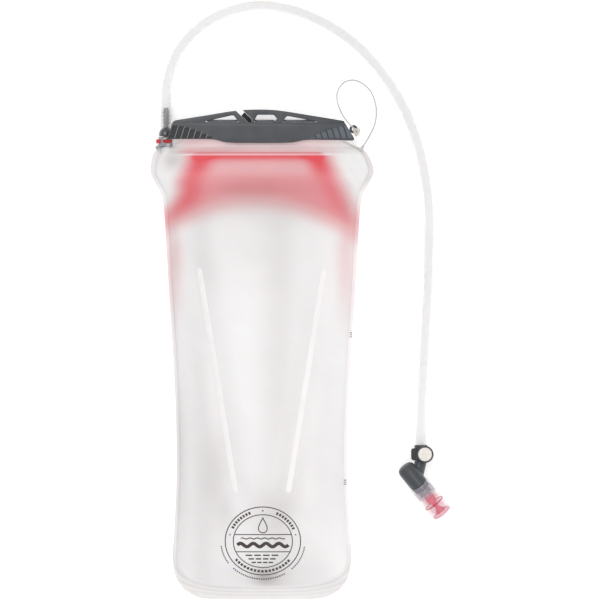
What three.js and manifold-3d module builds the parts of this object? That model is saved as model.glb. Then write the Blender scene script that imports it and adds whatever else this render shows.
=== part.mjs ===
// Hydration bladder: a flexible reservoir with a slide closure, a quick-release drinking tube and a bite valve.
//
// Millimetres. The reservoir lies on its back: +Z is up, out of the front film, and +Y runs from the bottom
// weld to the closure. The origin is on the flat part of the back film that the reservoir rests on.
import * as THREE from 'three';
import { mergeVertices } from 'three/addons/utils/BufferGeometryUtils.js';
import Module from 'manifold-3d';

const wasm = await Module();
wasm.setup();

// ---- driving dimensions -------------------------------------------------------------------------------------

const CLEARANCE = 0.3;          // between two pieces that touch

// The two films of the bag and the weld around them.
const FILM = 0.7;
const WELD_SHARE = 0.04;        // width of the side weld, as a share of the half width
const NECK_Z = 20;              // middle height of the closed mouth
const NECK_HALF_WIDTH = 72;
const NECK_TOP = 204;

// Cross-sections of the bag from the bottom weld to the mouth:
// y, half width, height of the weld, rise of the front film and drop of the back film at the middle.
const STATIONS = [
  [-198.5, 44, 2.6, 0, 0],
  [-196.5, 56, 2.6, 0, 0],
  [-189.5, 67.5, 3, 0.6, 0],
  [-179, 74.5, 4, 7, 2],
  [-163, 77.2, 6.5, 17, 7],
  [-140, 76, 10, 26, 12],
  [-100, 74, 13, 31, 16],
  [-50, 74, 15, 33, 18],
  [10, 76.6, 15.5, 34, 19],
  [65, 80.2, 15.5, 33, 19],
  [110, 82.8, 14, 32, 17],
  [138, 84.8, 12.5, 30.5, 14],
  [151, 88, 11, 29, 11],
  [161, 94, 9.5, 26, 6.5],
  [171, 96.5, 8.5, 23, 2.5],
  [181, 94.3, 8, 18.5, -3],
  [190, 88.3, 7.9, 14.3, -9.5],
  [193.5, 81, 9.5, 11.4, -9.6],
  [196.5, 74.5, 15, 5.5, -4.6],
  [199, NECK_HALF_WIDTH, NECK_Z, 0, 0],
  [NECK_TOP, NECK_HALF_WIDTH, NECK_Z, 0, 0],
];
const BAG_ROWS = 26;
const BAG_COLUMNS = 14;

// The slanted welds that join the inner baffle webs to the front film.
const RIB_LOW = { x: 22.6, y: -105 };
const RIB_HIGH = { x: 54, y: 88 };
const RIB_WIDTH = 4.8;
const RIB_THICK = 0.8;
const RIB_DIP = 4.5;            // how far a weld pulls the front film in
const RIB_DIP_WIDTH = 11;

// The closure bar: outline in the XY plane, body and handle thickness in Z.
const BAR_HALF_BODY = 5.2;
const BAR_HALF_HANDLE = 3.3;
const BAR_BODY_TOP = 213;
const BAR_BACK_LOW = 199;       // lower edge of the back half, which passes over the shoulder as the bar slides
const BAR_END_WALL_X = 73;      // the channel stops here, so the bar leaves the mouth towards +X only
const RAIL_HALF_THICK = 3.3;
const RAIL_TOP = 210.8;
const THROAT_HALF = 1.35;

// The port in the left shoulder, and the plug in it. Both lie along +Y.
const PORT_X = -83;
const PORT_Z = 7.9;
const COLLAR_RADIUS = 6.2;
const COLLAR_LOW = 194.2;
const COLLAR_TOP = 201.4;
const SEAT_LOW = 192.5;         // bottom of the plug's seat in the port
const LATCH_LOW = 195.8;
const LATCH_TOP = 199.2;
const LATCH_TRAVEL = 1.8;
const PLUG_RADIUS = 3.3;
const PLUG_LOW = 193.4;
const PLUG_BORE = 1.6;
const STEM_RADIUS = 2.45;
const CAP_LOW = 202;
const CAP_TOP = 209.3;
const BARB_TOP = 226.7;
const BARB_PITCH = 3.1;

// The drinking tube.
const TUBE_RADIUS = 4.75;
const TUBE_BORE = 3.4;
const TUBE_STEPS = 34;
const FLOOR_TUBE = 4.9;         // height of the tube's middle line where it lies on the floor

// The shut-off valve and the mouthpiece.
const HUB_X = 140.7;
const HUB_Y = -72.7;
const LINE_Z = 8;
const SOCKET_X = 137.4;
const MOUTH_TIP = new THREE.Vector3(122.7, -83, 17.1);  // domed end of the elbow
const MOUTH_DIRECTION = new THREE.Vector3(0.631, -0.776, -0.15).normalize();   // leans down to the floor
const ELBOW_RADIUS = 7.3;
const ELBOW_END = 25;           // along the mouth's axis, from the domed end
const ELBOW_SPIGOT = 5.2;       // radius of the spigot that the bite valve turns on
const ELBOW_SPIGOT_END = 31;
const DRUM_LOW = 1.4;
const DRUM_TOP = 13.4;
const KNOB_LOW = 14;
const KNOB_TOP = 18.2;
const SCREW_CORE = 1.35;
const SCREW_CLEAR = 1.7;
const BITE_BACK = 25.9;         // back face of the bite sleeve, along the mouth's axis
const BITE_SEAT = 31.6;         // the spigot's end face inside the sleeve
const RING_LOW = 40.4;          // groove of the sleeve that carries the coloured ring
const RING_HIGH = 42.9;
const RIM_LOW = 51.1;
const BITE_END = 53.6;

// ---- helpers ------------------------------------------------------------------------------------------------

// Merges shared vertices and drops the triangles that vanish on a lathe's axis.
function weldVertices(geometry) {
  const bare = geometry.clone();
  bare.deleteAttribute('normal');
  bare.deleteAttribute('uv');
  const merged = mergeVertices(bare, 1e-4);
  const kept = [];
  const index = merged.index.array;
  for (let i = 0; i < index.length; i += 3) {
    const [a, b, c] = [index[i], index[i + 1], index[i + 2]];
    if (a !== b && b !== c && c !== a) kept.push(a, b, c);
  }
  merged.setIndex(kept);
  return merged;
}

function toSolid(geometry) {
  const welded = weldVertices(geometry);
  return new wasm.Manifold(new wasm.Mesh({
    numProp: 3,
    vertProperties: new Float32Array(welded.attributes.position.array),
    triVerts: new Uint32Array(welded.index.array),
  }));
}

function toGeometry(solid) {
  const mesh = solid.getMesh();
  const geometry = new THREE.BufferGeometry();
  geometry.setAttribute('position', new THREE.BufferAttribute(mesh.vertProperties, 3));
  geometry.setIndex(new THREE.BufferAttribute(mesh.triVerts, 1));
  geometry.computeVertexNormals();
  return geometry;
}

function joinAll(...geometries) {
  return geometries.map(toSolid).reduce((whole, next) => whole.add(next));
}

function cutAll(solid, ...geometries) {
  return geometries.map(toSolid).reduce((rest, next) => rest.subtract(next), solid);
}

function box(low, high) {
  const size = high.map((value, axis) => value - low[axis]);
  const geometry = new THREE.BoxGeometry(...size);
  return geometry.translate(...low.map((value, axis) => value + size[axis] / 2));
}

function prism(shape, zLow, zHigh, curveSegments = 6) {
  const geometry = new THREE.ExtrudeGeometry(shape, { depth: zHigh - zLow, bevelEnabled: false, curveSegments });
  return geometry.translate(0, 0, zLow);
}

function polygon(points) {
  return new THREE.Shape(points.map(([x, y]) => new THREE.Vector2(x, y)));
}

// A cylinder from one point to another.
function rod(from, to, radius, sides = 24) {
  const start = new THREE.Vector3(...from);
  const run = new THREE.Vector3(...to).sub(start);
  const geometry = new THREE.CylinderGeometry(radius, radius, run.length(), sides);
  geometry.translate(0, run.length() / 2, 0);
  return aim(geometry, start, run.normalize());
}

// Turns a shape made along +Y so that it starts at a point and runs in a direction.
function aim(geometry, start, direction) {
  geometry.applyQuaternion(new THREE.Quaternion().setFromUnitVectors(new THREE.Vector3(0, 1, 0), direction));
  return geometry.translate(start.x, start.y, start.z);
}

// A turned piece around +Y. The profile is radius and height, run so that its outside is on its right.
function turned(profile, sides = 28) {
  return new THREE.LatheGeometry(profile.map(([radius, height]) => new THREE.Vector2(radius, height)), sides);
}

function turnedRing(profile, sides = 28) {
  return turned([...profile, profile[0]], sides);
}

function onMouthAxis(geometry) {
  return aim(geometry, MOUTH_TIP, MOUTH_DIRECTION);
}

function onPortAxis(geometry) {
  return geometry.translate(PORT_X, 0, PORT_Z);
}

// An upright cylinder on the hub's axis.
function hubRod(radius, zLow, zHigh, sides = 28) {
  return rod([HUB_X, HUB_Y, zLow], [HUB_X, HUB_Y, zHigh], radius, sides);
}

// A closed sheet between two faces, each given as the point at column i and row j. Columns run along +X, and
// the facets of the left half mirror those of the right half.
function sheet(columns, rows, upper, lower) {
  const positions = [];
  for (const face of [lower, upper]) {
    for (let j = 0; j <= rows; j += 1) {
      for (let i = 0; i <= columns; i += 1) positions.push(...face(i, j));
    }
  }
  const faceSize = (columns + 1) * (rows + 1);
  const at = (level, i, j) => level * faceSize + j * (columns + 1) + i;
  const indices = [];
  const quad = (a, b, c, d) => indices.push(a, b, c, a, c, d);
  for (let j = 0; j < rows; j += 1) {
    for (let i = 0; i < columns; i += 1) {
      const [a, b, c, d] = [at(1, i, j), at(1, i + 1, j), at(1, i + 1, j + 1), at(1, i, j + 1)];
      const [e, f, g, h] = [a, b, c, d].map((corner) => corner - faceSize);
      if (2 * i >= columns) {
        quad(a, b, c, d);
        quad(e, h, g, f);
      } else {
        quad(b, c, d, a);
        quad(h, g, f, e);
      }
    }
    quad(at(0, columns, j), at(0, columns, j + 1), at(1, columns, j + 1), at(1, columns, j));
    quad(at(0, 0, j + 1), at(0, 0, j), at(1, 0, j), at(1, 0, j + 1));
  }
  for (let i = 0; i < columns; i += 1) {
    quad(at(0, i, 0), at(0, i + 1, 0), at(1, i + 1, 0), at(1, i, 0));
    quad(at(0, i + 1, rows), at(0, i, rows), at(1, i, rows), at(1, i + 1, rows));
  }
  const geometry = new THREE.BufferGeometry();
  geometry.setAttribute('position', new THREE.Float32BufferAttribute(positions, 3));
  geometry.setIndex(indices);
  geometry.computeVertexNormals();
  return geometry;
}

// A tube or a solid cord along a smooth curve through hand-set points.
function cord(route, radius, bore, sides, steps) {
  const section = new THREE.Shape().absarc(0, 0, radius, 0, Math.PI * 2, false);
  if (bore > 0) section.holes.push(new THREE.Path().absarc(0, 0, bore, 0, Math.PI * 2, true));
  const extrudePath = new THREE.CatmullRomCurve3(route.map((point) => new THREE.Vector3(...point)));
  return new THREE.ExtrudeGeometry(section, { steps, extrudePath, curveSegments: sides, bevelEnabled: false });
}

// ---- the bag's surface --------------------------------------------------------------------------------------

const edgeLine = new THREE.CatmullRomCurve3(STATIONS.map(([y, half, edge]) => new THREE.Vector3(half, y, edge)));
const fullLine = new THREE.CatmullRomCurve3(STATIONS.map(([, , , front, back]) => new THREE.Vector3(front, back, 0)));

function ribCentre(y) {
  const share = (y - RIB_LOW.y) / (RIB_HIGH.y - RIB_LOW.y);
  return THREE.MathUtils.lerp(RIB_LOW.x, RIB_HIGH.x, share);
}

function ribDip(x, y) {
  const fade = THREE.MathUtils.smoothstep(y, RIB_LOW.y - 20, RIB_LOW.y + 10)
    * (1 - THREE.MathUtils.smoothstep(y, RIB_HIGH.y - 10, RIB_HIGH.y + 20));
  const away = (Math.abs(x) - ribCentre(y)) / RIB_DIP_WIDTH;
  return RIB_DIP * fade * Math.exp(-away * away);
}

// Share of the full rise at a place across the bag: 1 in the middle, 0 on the weld.
function fullness(across) {
  const inner = Math.min(Math.abs(across) / (1 - WELD_SHARE), 1);
  return (1 - inner ** 2.4) ** 0.8;
}

const columnPlaces = [-1];
for (let i = 0; i <= BAG_COLUMNS - 2; i += 1) {
  columnPlaces.push((1 - WELD_SHARE) * Math.sin(((i / (BAG_COLUMNS - 2)) - 0.5) * Math.PI));
}
columnPlaces.push(1);

function bagRow(j) {
  const edge = edgeLine.getPoint(j / BAG_ROWS);
  const full = fullLine.getPoint(j / BAG_ROWS);
  const cells = columnPlaces.map((across) => {
    const share = fullness(across);
    const x = across * edge.x;
    const front = edge.z + CLEARANCE / 2 + FILM + full.x * share - ribDip(x, edge.y) * share;
    const back = Math.max(0, edge.z - CLEARANCE / 2 - FILM - full.y * share);
    return { x, front, back };
  });
  return { y: edge.y, half: edge.x, cells };
}

const bagRows = Array.from({ length: BAG_ROWS + 1 }, (_, j) => bagRow(j));

// Height of the front or back film's outer face at a place, read from its facets.
function filmHeight(side, x, y) {
  const j = Math.max(0, bagRows.findIndex((row) => row.y > y) - 1);
  const [low, high] = [bagRows[j], bagRows[j + 1]];
  const rise = (y - low.y) / (high.y - low.y);
  const across = Math.abs(x) / THREE.MathUtils.lerp(low.half, high.half, rise);
  const i = Math.max(0, columnPlaces.findIndex((place) => place > across) - 1);
  const run = (across - columnPlaces[i]) / (columnPlaces[i + 1] - columnPlaces[i]);
  const [a, b] = [low.cells[i][side], low.cells[i + 1][side]];
  const [d, c] = [high.cells[i][side], high.cells[i + 1][side]];
  return run >= rise ? a + run * (b - a) + rise * (c - b) : a + rise * (d - a) + run * (c - d);
}

const insideFront = (x, y) => filmHeight('front', x, y) - FILM;
const insideBack = (x, y) => filmHeight('back', x, y) + FILM;

// ---- bag pieces ---------------------------------------------------------------------------------------------

const SPIGOT_RADIUS = 3.8;
const SPIGOT_LOW = 184.5;
const VALVE_SEAT = 191.6;       // under side of the ring that the check valve closes on

// The boat-shaped weld base of the port, which follows the shoulder's edge, grown by a margin on every side.
function portPlate(margin) {
  const along = new THREE.Vector2(0.907, 0.421);
  const out = new THREE.Vector2(-along.y, along.x);
  const corner = (run, lift) => [PORT_X + along.x * run + out.x * lift, 192.9 + along.y * run + out.y * lift];
  const [left, right, low, high] = [-8.5 - margin, 7.2 + margin, 1 - margin, 4 + margin];
  const outline = polygon([corner(left, low), corner(right, low), corner(right, high), corner(left, high)]);
  return prism(outline, PORT_Z - 3.4 - margin, PORT_Z + 3.4 + margin);
}

// One film, with the hole in its shoulder weld that the port's spigot passes through.
function film(side) {
  const outer = (i, j) => [bagRows[j].cells[i].x, bagRows[j].y, bagRows[j].cells[i][side]];
  const step = side === 'front' ? -FILM : FILM;
  const inner = (i, j) => [bagRows[j].cells[i].x, bagRows[j].y, bagRows[j].cells[i][side] + step];
  const [upper, lower] = side === 'front' ? [outer, inner] : [inner, outer];
  const room = CLEARANCE + 0.1;
  const spigotHole = rod([PORT_X, SPIGOT_LOW - 1, PORT_Z], [PORT_X, 195, PORT_Z], SPIGOT_RADIUS + room);
  const collarHole = rod([PORT_X, COLLAR_LOW - 1 - room, PORT_Z], [PORT_X, 203, PORT_Z], COLLAR_RADIUS + room);
  const solid = toSolid(sheet(BAG_COLUMNS, BAG_ROWS, upper, lower));
  return toGeometry(cutAll(solid, spigotHole, collarHole, portPlate(room)));
}

// A weld strip that follows the front film, with one step at each row of the film.
function weldRib(sign) {
  const rowYs = bagRows.map((row) => row.y).filter((y) => y > RIB_LOW.y + 1 && y < RIB_HIGH.y - 1);
  const ys = [RIB_LOW.y, ...rowYs, RIB_HIGH.y];
  const point = (i, j, lift) => {
    const middle = sign * ribCentre(ys[j]);
    const places = [middle - RIB_WIDTH / 2, middle, middle + RIB_WIDTH / 2];
    const seat = Math.max(...places.map((x) => filmHeight('front', x, ys[j])));
    return [places[2 * i], ys[j], seat + lift];
  };
  const seatGap = 0.5;
  return sheet(1, ys.length - 1, (i, j) => point(i, j, seatGap + RIB_THICK), (i, j) => point(i, j, seatGap));
}

// A thin upright web inside the bag, from the back film to the front film under a weld rib.
function baffleWeb(sign) {
  const steps = 16;
  const web = 0.6;
  const endGap = 1;
  const point = (i, j, high) => {
    const y = THREE.MathUtils.lerp(RIB_LOW.y, RIB_HIGH.y, j / steps);
    const x = sign * ribCentre(y) + (i - 0.5) * web;
    return [x, y, high ? insideFront(x, y) - endGap : insideBack(x, y) + endGap];
  };
  return sheet(1, steps, (i, j) => point(i, j, true), (i, j) => point(i, j, false));
}

// The coloured inner sheet below the mouth, half way between the films.
function innerLiner() {
  const columns = 10;
  const rows = 5;
  const thick = 0.6;
  const top = 186;
  const place = (i, j) => {
    const side = (i / columns) * 2 - 1;
    const low = 148 - 14 * side * side;
    const y = THREE.MathUtils.lerp(low, top, j / rows);
    const halfWidth = THREE.MathUtils.lerp(70, 60, j / rows);
    return [side * halfWidth, y];
  };
  const point = (i, j, lift) => {
    const [x, y] = place(i, j);
    return [x, y, (insideFront(x, y) + insideBack(x, y)) / 2 + lift];
  };
  return sheet(columns, rows, (i, j) => point(i, j, thick / 2), (i, j) => point(i, j, -thick / 2));
}

// Half of the mouth's bead: a stiff rail that the closure bar clamps. Sign is +1 at the front, -1 at the back.
function mouthRail(sign) {
  const inner = CLEARANCE / 2;
  const low = NECK_TOP + CLEARANCE;
  const corner = 1;
  const section = [
    [inner, low],
    [RAIL_HALF_THICK - corner, low],
    [RAIL_HALF_THICK, low + corner],
    [RAIL_HALF_THICK, RAIL_TOP - corner],
    [RAIL_HALF_THICK - corner, RAIL_TOP],
    [inner, RAIL_TOP],
  ];
  const length = 2 * NECK_HALF_WIDTH;
  const shape = polygon(sign > 0 ? section : section.map(([z, y]) => [-z, y]));
  const geometry = new THREE.ExtrudeGeometry(shape, { depth: length, bevelEnabled: false });
  geometry.rotateY(-Math.PI / 2);
  return geometry.translate(length / 2, 0, NECK_Z);
}

// ---- closure bar --------------------------------------------------------------------------------------------

function barOutline() {
  const shape = new THREE.Shape();
  shape.moveTo(-81.6, 199.2);
  shape.lineTo(-77.4, 212.6);
  shape.quadraticCurveTo(-76.4, 215, -73.5, 215.6);
  shape.splineThru([[-48, 219.6], [-23.3, 223.5], [-6.5, 224.6], [12.5, 224], [36, 220.5], [70.4, 214.9]]
    .map(([x, y]) => new THREE.Vector2(x, y)));
  shape.lineTo(79.4, 200);
  shape.quadraticCurveTo(79.8, 198, 77.8, 198);
  shape.lineTo(42, 198.6);
  shape.bezierCurveTo(30, 198.6, 26, 195.8, 16, 195.8);
  shape.lineTo(-22, 195.8);
  shape.bezierCurveTo(-32, 195.8, -36, 199.2, -46, 199.2);
  shape.closePath();
  return shape;
}

// Round-cornered windows of the handle.
function barWindows() {
  const left = new THREE.Shape();
  left.moveTo(-49, 214.7);
  left.lineTo(-26, 219.7);
  left.quadraticCurveTo(-24.2, 219.9, -23.4, 218.4);
  left.lineTo(-20.4, 214.6);
  left.quadraticCurveTo(-20.2, 213.9, -21, 213.8);
  left.lineTo(-48, 213.8);
  left.closePath();
  const middle = new THREE.Shape();
  middle.moveTo(-7, 213.8);
  middle.lineTo(-4.6, 219.2);
  middle.quadraticCurveTo(-4, 220.2, -2.8, 220.2);
  middle.lineTo(9, 220.2);
  middle.quadraticCurveTo(10.4, 220.2, 11, 219.2);
  middle.lineTo(13, 216.6);
  middle.lineTo(9.6, 213.8);
  middle.closePath();
  const right = new THREE.Shape();
  right.moveTo(17.8, 213.8);
  right.lineTo(20.8, 218.4);
  right.quadraticCurveTo(21.6, 219.2, 23, 219);
  right.lineTo(47.5, 214.5);
  right.lineTo(46.5, 213.8);
  right.closePath();
  return [left, middle, right];
}

const EYELET = [79, 207.8];
const EYELET_HALF = 1.6;
const HOOK_SLOT_TOP = { x: -22.4, y: 226.6 };
const HOOK_SLOT_END = { x: -10.6, y: 215.4 };
const HOOK_SLOT_HALF = 2.3;

// A slanted slot with a round end. It starts outside the bar, or at `start` along its length.
function hookSlot(half, start = 0) {
  const run = new THREE.Vector2(HOOK_SLOT_END.x - HOOK_SLOT_TOP.x, HOOK_SLOT_END.y - HOOK_SLOT_TOP.y);
  const length = run.length();
  const shape = new THREE.Shape();
  shape.moveTo(start, -half);
  shape.lineTo(length, -half);
  shape.absarc(length, 0, half, -Math.PI / 2, Math.PI / 2, false);
  shape.lineTo(start, half);
  shape.closePath();
  return { shape, angle: run.angle() };
}

function slotPrism(half, start, zLow, zHigh) {
  const { shape, angle } = hookSlot(half, start);
  return prism(shape, zLow, zHigh).rotateZ(angle).translate(HOOK_SLOT_TOP.x, HOOK_SLOT_TOP.y, 0);
}

const GRIP_START = 76.6;

// The slanted grip pockets at one end of one face; they get shorter towards the middle.
function gripPockets(endSign, faceSign) {
  const count = 7;
  const pitch = 5.4;
  const wide = 4.3;
  const deep = 0.6;
  const lean = 0.28;
  const low = 200.6;
  const face = NECK_Z + faceSign * BAR_HALF_BODY;
  return Array.from({ length: count }, (_, k) => {
    const tall = 11.4 * (1 - (k / count) ** 1.4);
    const x = k * pitch - GRIP_START;
    const high = low + tall;
    const corners = [[x, low], [x + wide, low], [x + wide + lean * tall, high], [x + lean * tall, high]];
    const shape = polygon(corners.map(([px, py]) => [-endSign * px, py]));
    return prism(shape, face - deep, face + deep);
  });
}

function closureBar() {
  const outline = barOutline();
  const bodyBand = box([-90, 190, NECK_Z - BAR_HALF_BODY], [90, BAR_BODY_TOP, NECK_Z + BAR_HALF_BODY]);
  const body = toSolid(prism(outline, NECK_Z - BAR_HALF_BODY, NECK_Z + BAR_HALF_BODY)).intersect(toSolid(bodyBand));
  const handle = toSolid(prism(outline, NECK_Z - BAR_HALF_HANDLE, NECK_Z + BAR_HALF_HANDLE));
  const backBulge = box([-50, 190, NECK_Z - 10], [44, BAR_BACK_LOW, NECK_Z]);
  const eyelet = joinAll(
    rod([...EYELET, NECK_Z - EYELET_HALF], [...EYELET, NECK_Z + EYELET_HALF], 3.6, 20),
    box([70, 204.6, NECK_Z - EYELET_HALF], [EYELET[0], 210.6, NECK_Z + EYELET_HALF]),
  );
  const whole = body.add(handle).add(eyelet);
  const cavity = RAIL_HALF_THICK + 0.4;
  const reach = 100;
  const throat = polygon([
    [THROAT_HALF, NECK_TOP - 0.5], [THROAT_HALF, 201.8], [4.2, 194], [-4.2, 194],
    [-THROAT_HALF, 201.8], [-THROAT_HALF, NECK_TOP - 0.5],
    [-cavity, NECK_TOP - 0.5], [-cavity, RAIL_TOP + 0.5], [cavity, RAIL_TOP + 0.5], [cavity, NECK_TOP - 0.5],
  ]);
  const channel = new THREE.ExtrudeGeometry(throat, { depth: reach + BAR_END_WALL_X, bevelEnabled: false });
  channel.rotateY(-Math.PI / 2).translate(BAR_END_WALL_X, 0, NECK_Z);
  const through = [NECK_Z - 10, NECK_Z + 10];
  return toGeometry(cutAll(
    whole,
    channel,
    backBulge,
    ...barWindows().map((shape) => prism(shape, ...through)),
    slotPrism(HOOK_SLOT_HALF, 0, ...through),
    rod([EYELET[0] + 0.6, EYELET[1], NECK_Z - 5], [EYELET[0] + 0.6, EYELET[1], NECK_Z + 5], 1.5, 16),
    ...gripPockets(1, 1),
    ...gripPockets(-1, 1),
    ...gripPockets(1, -1),
    ...gripPockets(-1, -1),
  ));
}

// The black pad that lines the closed end of the hook slot.
function hookPad() {
  const half = HOOK_SLOT_HALF - CLEARANCE;
  return slotPrism(half, 8.2, NECK_Z - BAR_HALF_HANDLE, NECK_Z - BAR_HALF_HANDLE + 1.6);
}

// ---- tether -------------------------------------------------------------------------------------------------

// It leaves the knot above the bar, so that the bar can slide under it, and drops to the floor beyond the bar.
const TETHER_ROUTE = [
  [80.8, 206.8, 26.5], [77.5, 209.8, 27], [73.6, 214, 27], [70, 219, 26.6], [67.4, 224, 25.4], [65.8, 228.5, 21.5],
  [64.8, 233.5, 14], [65, 239.5, 7], [67.8, 245.8, 2.4], [72.3, 249.7, 0.9], [79.5, 251, 0.8], [87, 248, 0.8],
  [93.5, 242, 0.8], [97.7, 232.5, 0.8], [99, 223, 1.1], [97.6, 213, 2.4], [94, 204.5, 4.8], [90, 197.4, 8],
  [87.4, 193.4, 10.2],
];
const TETHER_RADIUS = 0.65;

function tetherKnot() {
  const knot = new THREE.SphereGeometry(2, 12, 8);
  knot.scale(1.1, 1, 0.95);
  return weldVertices(knot.translate(82.6, 205.2, 23.7));
}

function tetherAnchor() {
  const [x, y] = [85.4, 190.6];
  const radius = 1.8;
  const rim = Array.from({ length: 8 }, (_, k) => (k / 4) * Math.PI);
  const seat = CLEARANCE + Math.max(...rim.map((angle) => filmHeight('front', x + radius * Math.cos(angle),
    y + radius * Math.sin(angle))));
  return rod([x, y, seat], [x, y, seat + 1], radius, 16);
}

// ---- port and plug ------------------------------------------------------------------------------------------

// The moulded port: a boat-shaped weld base, a spigot into the bag and a collar with a cross slot for the latch.
function portBody() {
  const collar = rod([PORT_X, COLLAR_LOW - 1, PORT_Z], [PORT_X, COLLAR_TOP, PORT_Z], COLLAR_RADIUS, 24);
  const spigot = rod([PORT_X, SPIGOT_LOW, PORT_Z], [PORT_X, COLLAR_LOW, PORT_Z], SPIGOT_RADIUS);
  const seatBore = rod([PORT_X, SEAT_LOW, PORT_Z], [PORT_X, COLLAR_TOP + 1, PORT_Z], PLUG_RADIUS + 0.35);
  const valveBore = rod([PORT_X, SPIGOT_LOW + 0.7, PORT_Z], [PORT_X, VALVE_SEAT, PORT_Z], 3);
  const flowBore = rod([PORT_X, SPIGOT_LOW - 1, PORT_Z], [PORT_X, SEAT_LOW + 0.5, PORT_Z], 1.9, 16);
  const slotGap = 0.35;
  const latchSlot = box(
    [PORT_X - 12, LATCH_LOW - slotGap, PORT_Z - 5],
    [PORT_X + 12, LATCH_TOP + slotGap, PORT_Z + 12],
  );
  return toGeometry(cutAll(joinAll(portPlate(0), collar, spigot), seatBore, valveBore, flowBore, latchSlot));
}

// The red latch plate: its left end is the button, and its long hole lets it slide past the plug.
function releaseLatch() {
  const outline = new THREE.Shape();
  const [left, right, back, front, corner] = [-8.6, 5.6, -4.6, 5.7, 2.4];
  outline.moveTo(left + corner, back);
  outline.lineTo(right, back);
  outline.lineTo(right, front - corner);
  outline.quadraticCurveTo(right, front, right - corner, front);
  outline.lineTo(left + corner, front);
  outline.quadraticCurveTo(left, front, left, front - corner);
  outline.lineTo(left, back + corner);
  outline.quadraticCurveTo(left, back, left + corner, back);
  const hole = new THREE.Path();
  const half = PLUG_RADIUS + 0.35;
  hole.absarc(0, 0, half, Math.PI / 2, -Math.PI / 2, true);
  hole.lineTo(-LATCH_TRAVEL, -half);
  hole.absarc(-LATCH_TRAVEL, 0, half, -Math.PI / 2, Math.PI / 2, true);
  hole.closePath();
  outline.holes.push(hole);
  const plate = prism(outline, 0, LATCH_TOP - LATCH_LOW);
  return plate.rotateX(Math.PI / 2).translate(PORT_X, LATCH_TOP, PORT_Z);
}

function plugBody() {
  const barbs = [];
  for (let y = CAP_TOP + 3.3; y < BARB_TOP - 3; y += BARB_PITCH) {
    barbs.push([STEM_RADIUS, y], [STEM_RADIUS + 0.5, y], [STEM_RADIUS, y + 2.2]);
  }
  const groove = PLUG_RADIUS - 0.6;
  return onPortAxis(turnedRing([
    [PLUG_BORE, PLUG_LOW], [2.9, PLUG_LOW], [PLUG_RADIUS, PLUG_LOW + 0.5], [PLUG_RADIUS, PLUG_LOW + 0.9],
    [groove, PLUG_LOW + 0.9], [groove, PLUG_LOW + 2.1], [PLUG_RADIUS, PLUG_LOW + 2.1],
    [PLUG_RADIUS, CAP_LOW - CLEARANCE], [STEM_RADIUS, CAP_LOW - CLEARANCE], ...barbs,
    [STEM_RADIUS, BARB_TOP - 1.2], [2.1, BARB_TOP], [PLUG_BORE, BARB_TOP],
  ], 16));
}

function plugCap() {
  const hole = STEM_RADIUS + CLEARANCE;
  return onPortAxis(turnedRing([
    [hole, CAP_LOW], [6, CAP_LOW], [6.2, CAP_LOW + 0.6], [6.2, 204.4], [5.6, 206.4], [4.6, 208.2], [3.4, CAP_TOP],
    [hole, CAP_TOP],
  ], 20));
}

function ringSeal(major, minor, sides = 20) {
  return weldVertices(new THREE.TorusGeometry(major, minor, 6, sides));
}

function plugSeal() {
  return ringSeal(3.12, 0.38).rotateX(Math.PI / 2).translate(PORT_X, PLUG_LOW + 1.5, PORT_Z);
}

// The check valve's poppet, held open by the plug, and the spring below it. It closes by rising to its seat.
const POPPET_TRAVEL = 1.3;

function valvePoppet() {
  const discTop = VALVE_SEAT - CLEARANCE - POPPET_TRAVEL;
  return onPortAxis(turned([
    [0, discTop - 0.8], [2.6, discTop - 0.8], [2.6, discTop], [0.7, discTop], [0.7, 192.4], [1.75, 192.4],
    [1.75, 193.1], [0, 193.1],
  ], 16));
}

function valveSpring() {
  const turns = 3;
  const stepsPerTurn = 9;
  const route = Array.from({ length: turns * stepsPerTurn + 1 }, (_, k) => {
    const angle = (k / stepsPerTurn) * Math.PI * 2;
    const height = THREE.MathUtils.lerp(185.7, 188.6, k / (turns * stepsPerTurn));
    return [PORT_X + 2.3 * Math.cos(angle), height, PORT_Z + 2.3 * Math.sin(angle)];
  });
  return cord(route, 0.25, 0, 3, turns * stepsPerTurn);
}

// ---- drinking tube ------------------------------------------------------------------------------------------

const TUBE_ROUTE = [
  [PORT_X, CAP_TOP + CLEARANCE, PORT_Z], [PORT_X, 219, PORT_Z], [PORT_X, 228.5, PORT_Z],
  [-83, 238.5, 7.3], [-82, 249.5, 6.2], [-78.8, 262.5, 5.2], [-73, 275.5, FLOOR_TUBE], [-63.5, 288, FLOOR_TUBE],
  [-50, 300, FLOOR_TUBE], [-32, 309.5, FLOOR_TUBE], [-11.5, 315, FLOOR_TUBE], [9, 315.3, FLOOR_TUBE],
  [29.7, 310.6, FLOOR_TUBE], [49.4, 302.8, FLOOR_TUBE], [67.8, 292.1, FLOOR_TUBE], [84.4, 278.9, FLOOR_TUBE],
  [99, 263.4, FLOOR_TUBE], [111.5, 246.4, FLOOR_TUBE], [122, 228, FLOOR_TUBE], [130.3, 209, FLOOR_TUBE],
  [136.5, 189, FLOOR_TUBE], [141, 168.5, FLOOR_TUBE], [143.7, 148, FLOOR_TUBE], [144.6, 122, FLOOR_TUBE],
  [144.1, 92, FLOOR_TUBE], [142.7, 60, FLOOR_TUBE], [141, 28, FLOOR_TUBE], [139.2, -4, FLOOR_TUBE],
  [138, -30, 5.6], [137.5, -50, 7.3], [SOCKET_X, -60, LINE_Z], [SOCKET_X, -67.3, LINE_Z],
];

// ---- shut-off valve and mouthpiece --------------------------------------------------------------------------

const NECK_FROM = [138.2, -75, 7.2];
const NECK_TO = [133.2, -95.5, 13.2];

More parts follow.
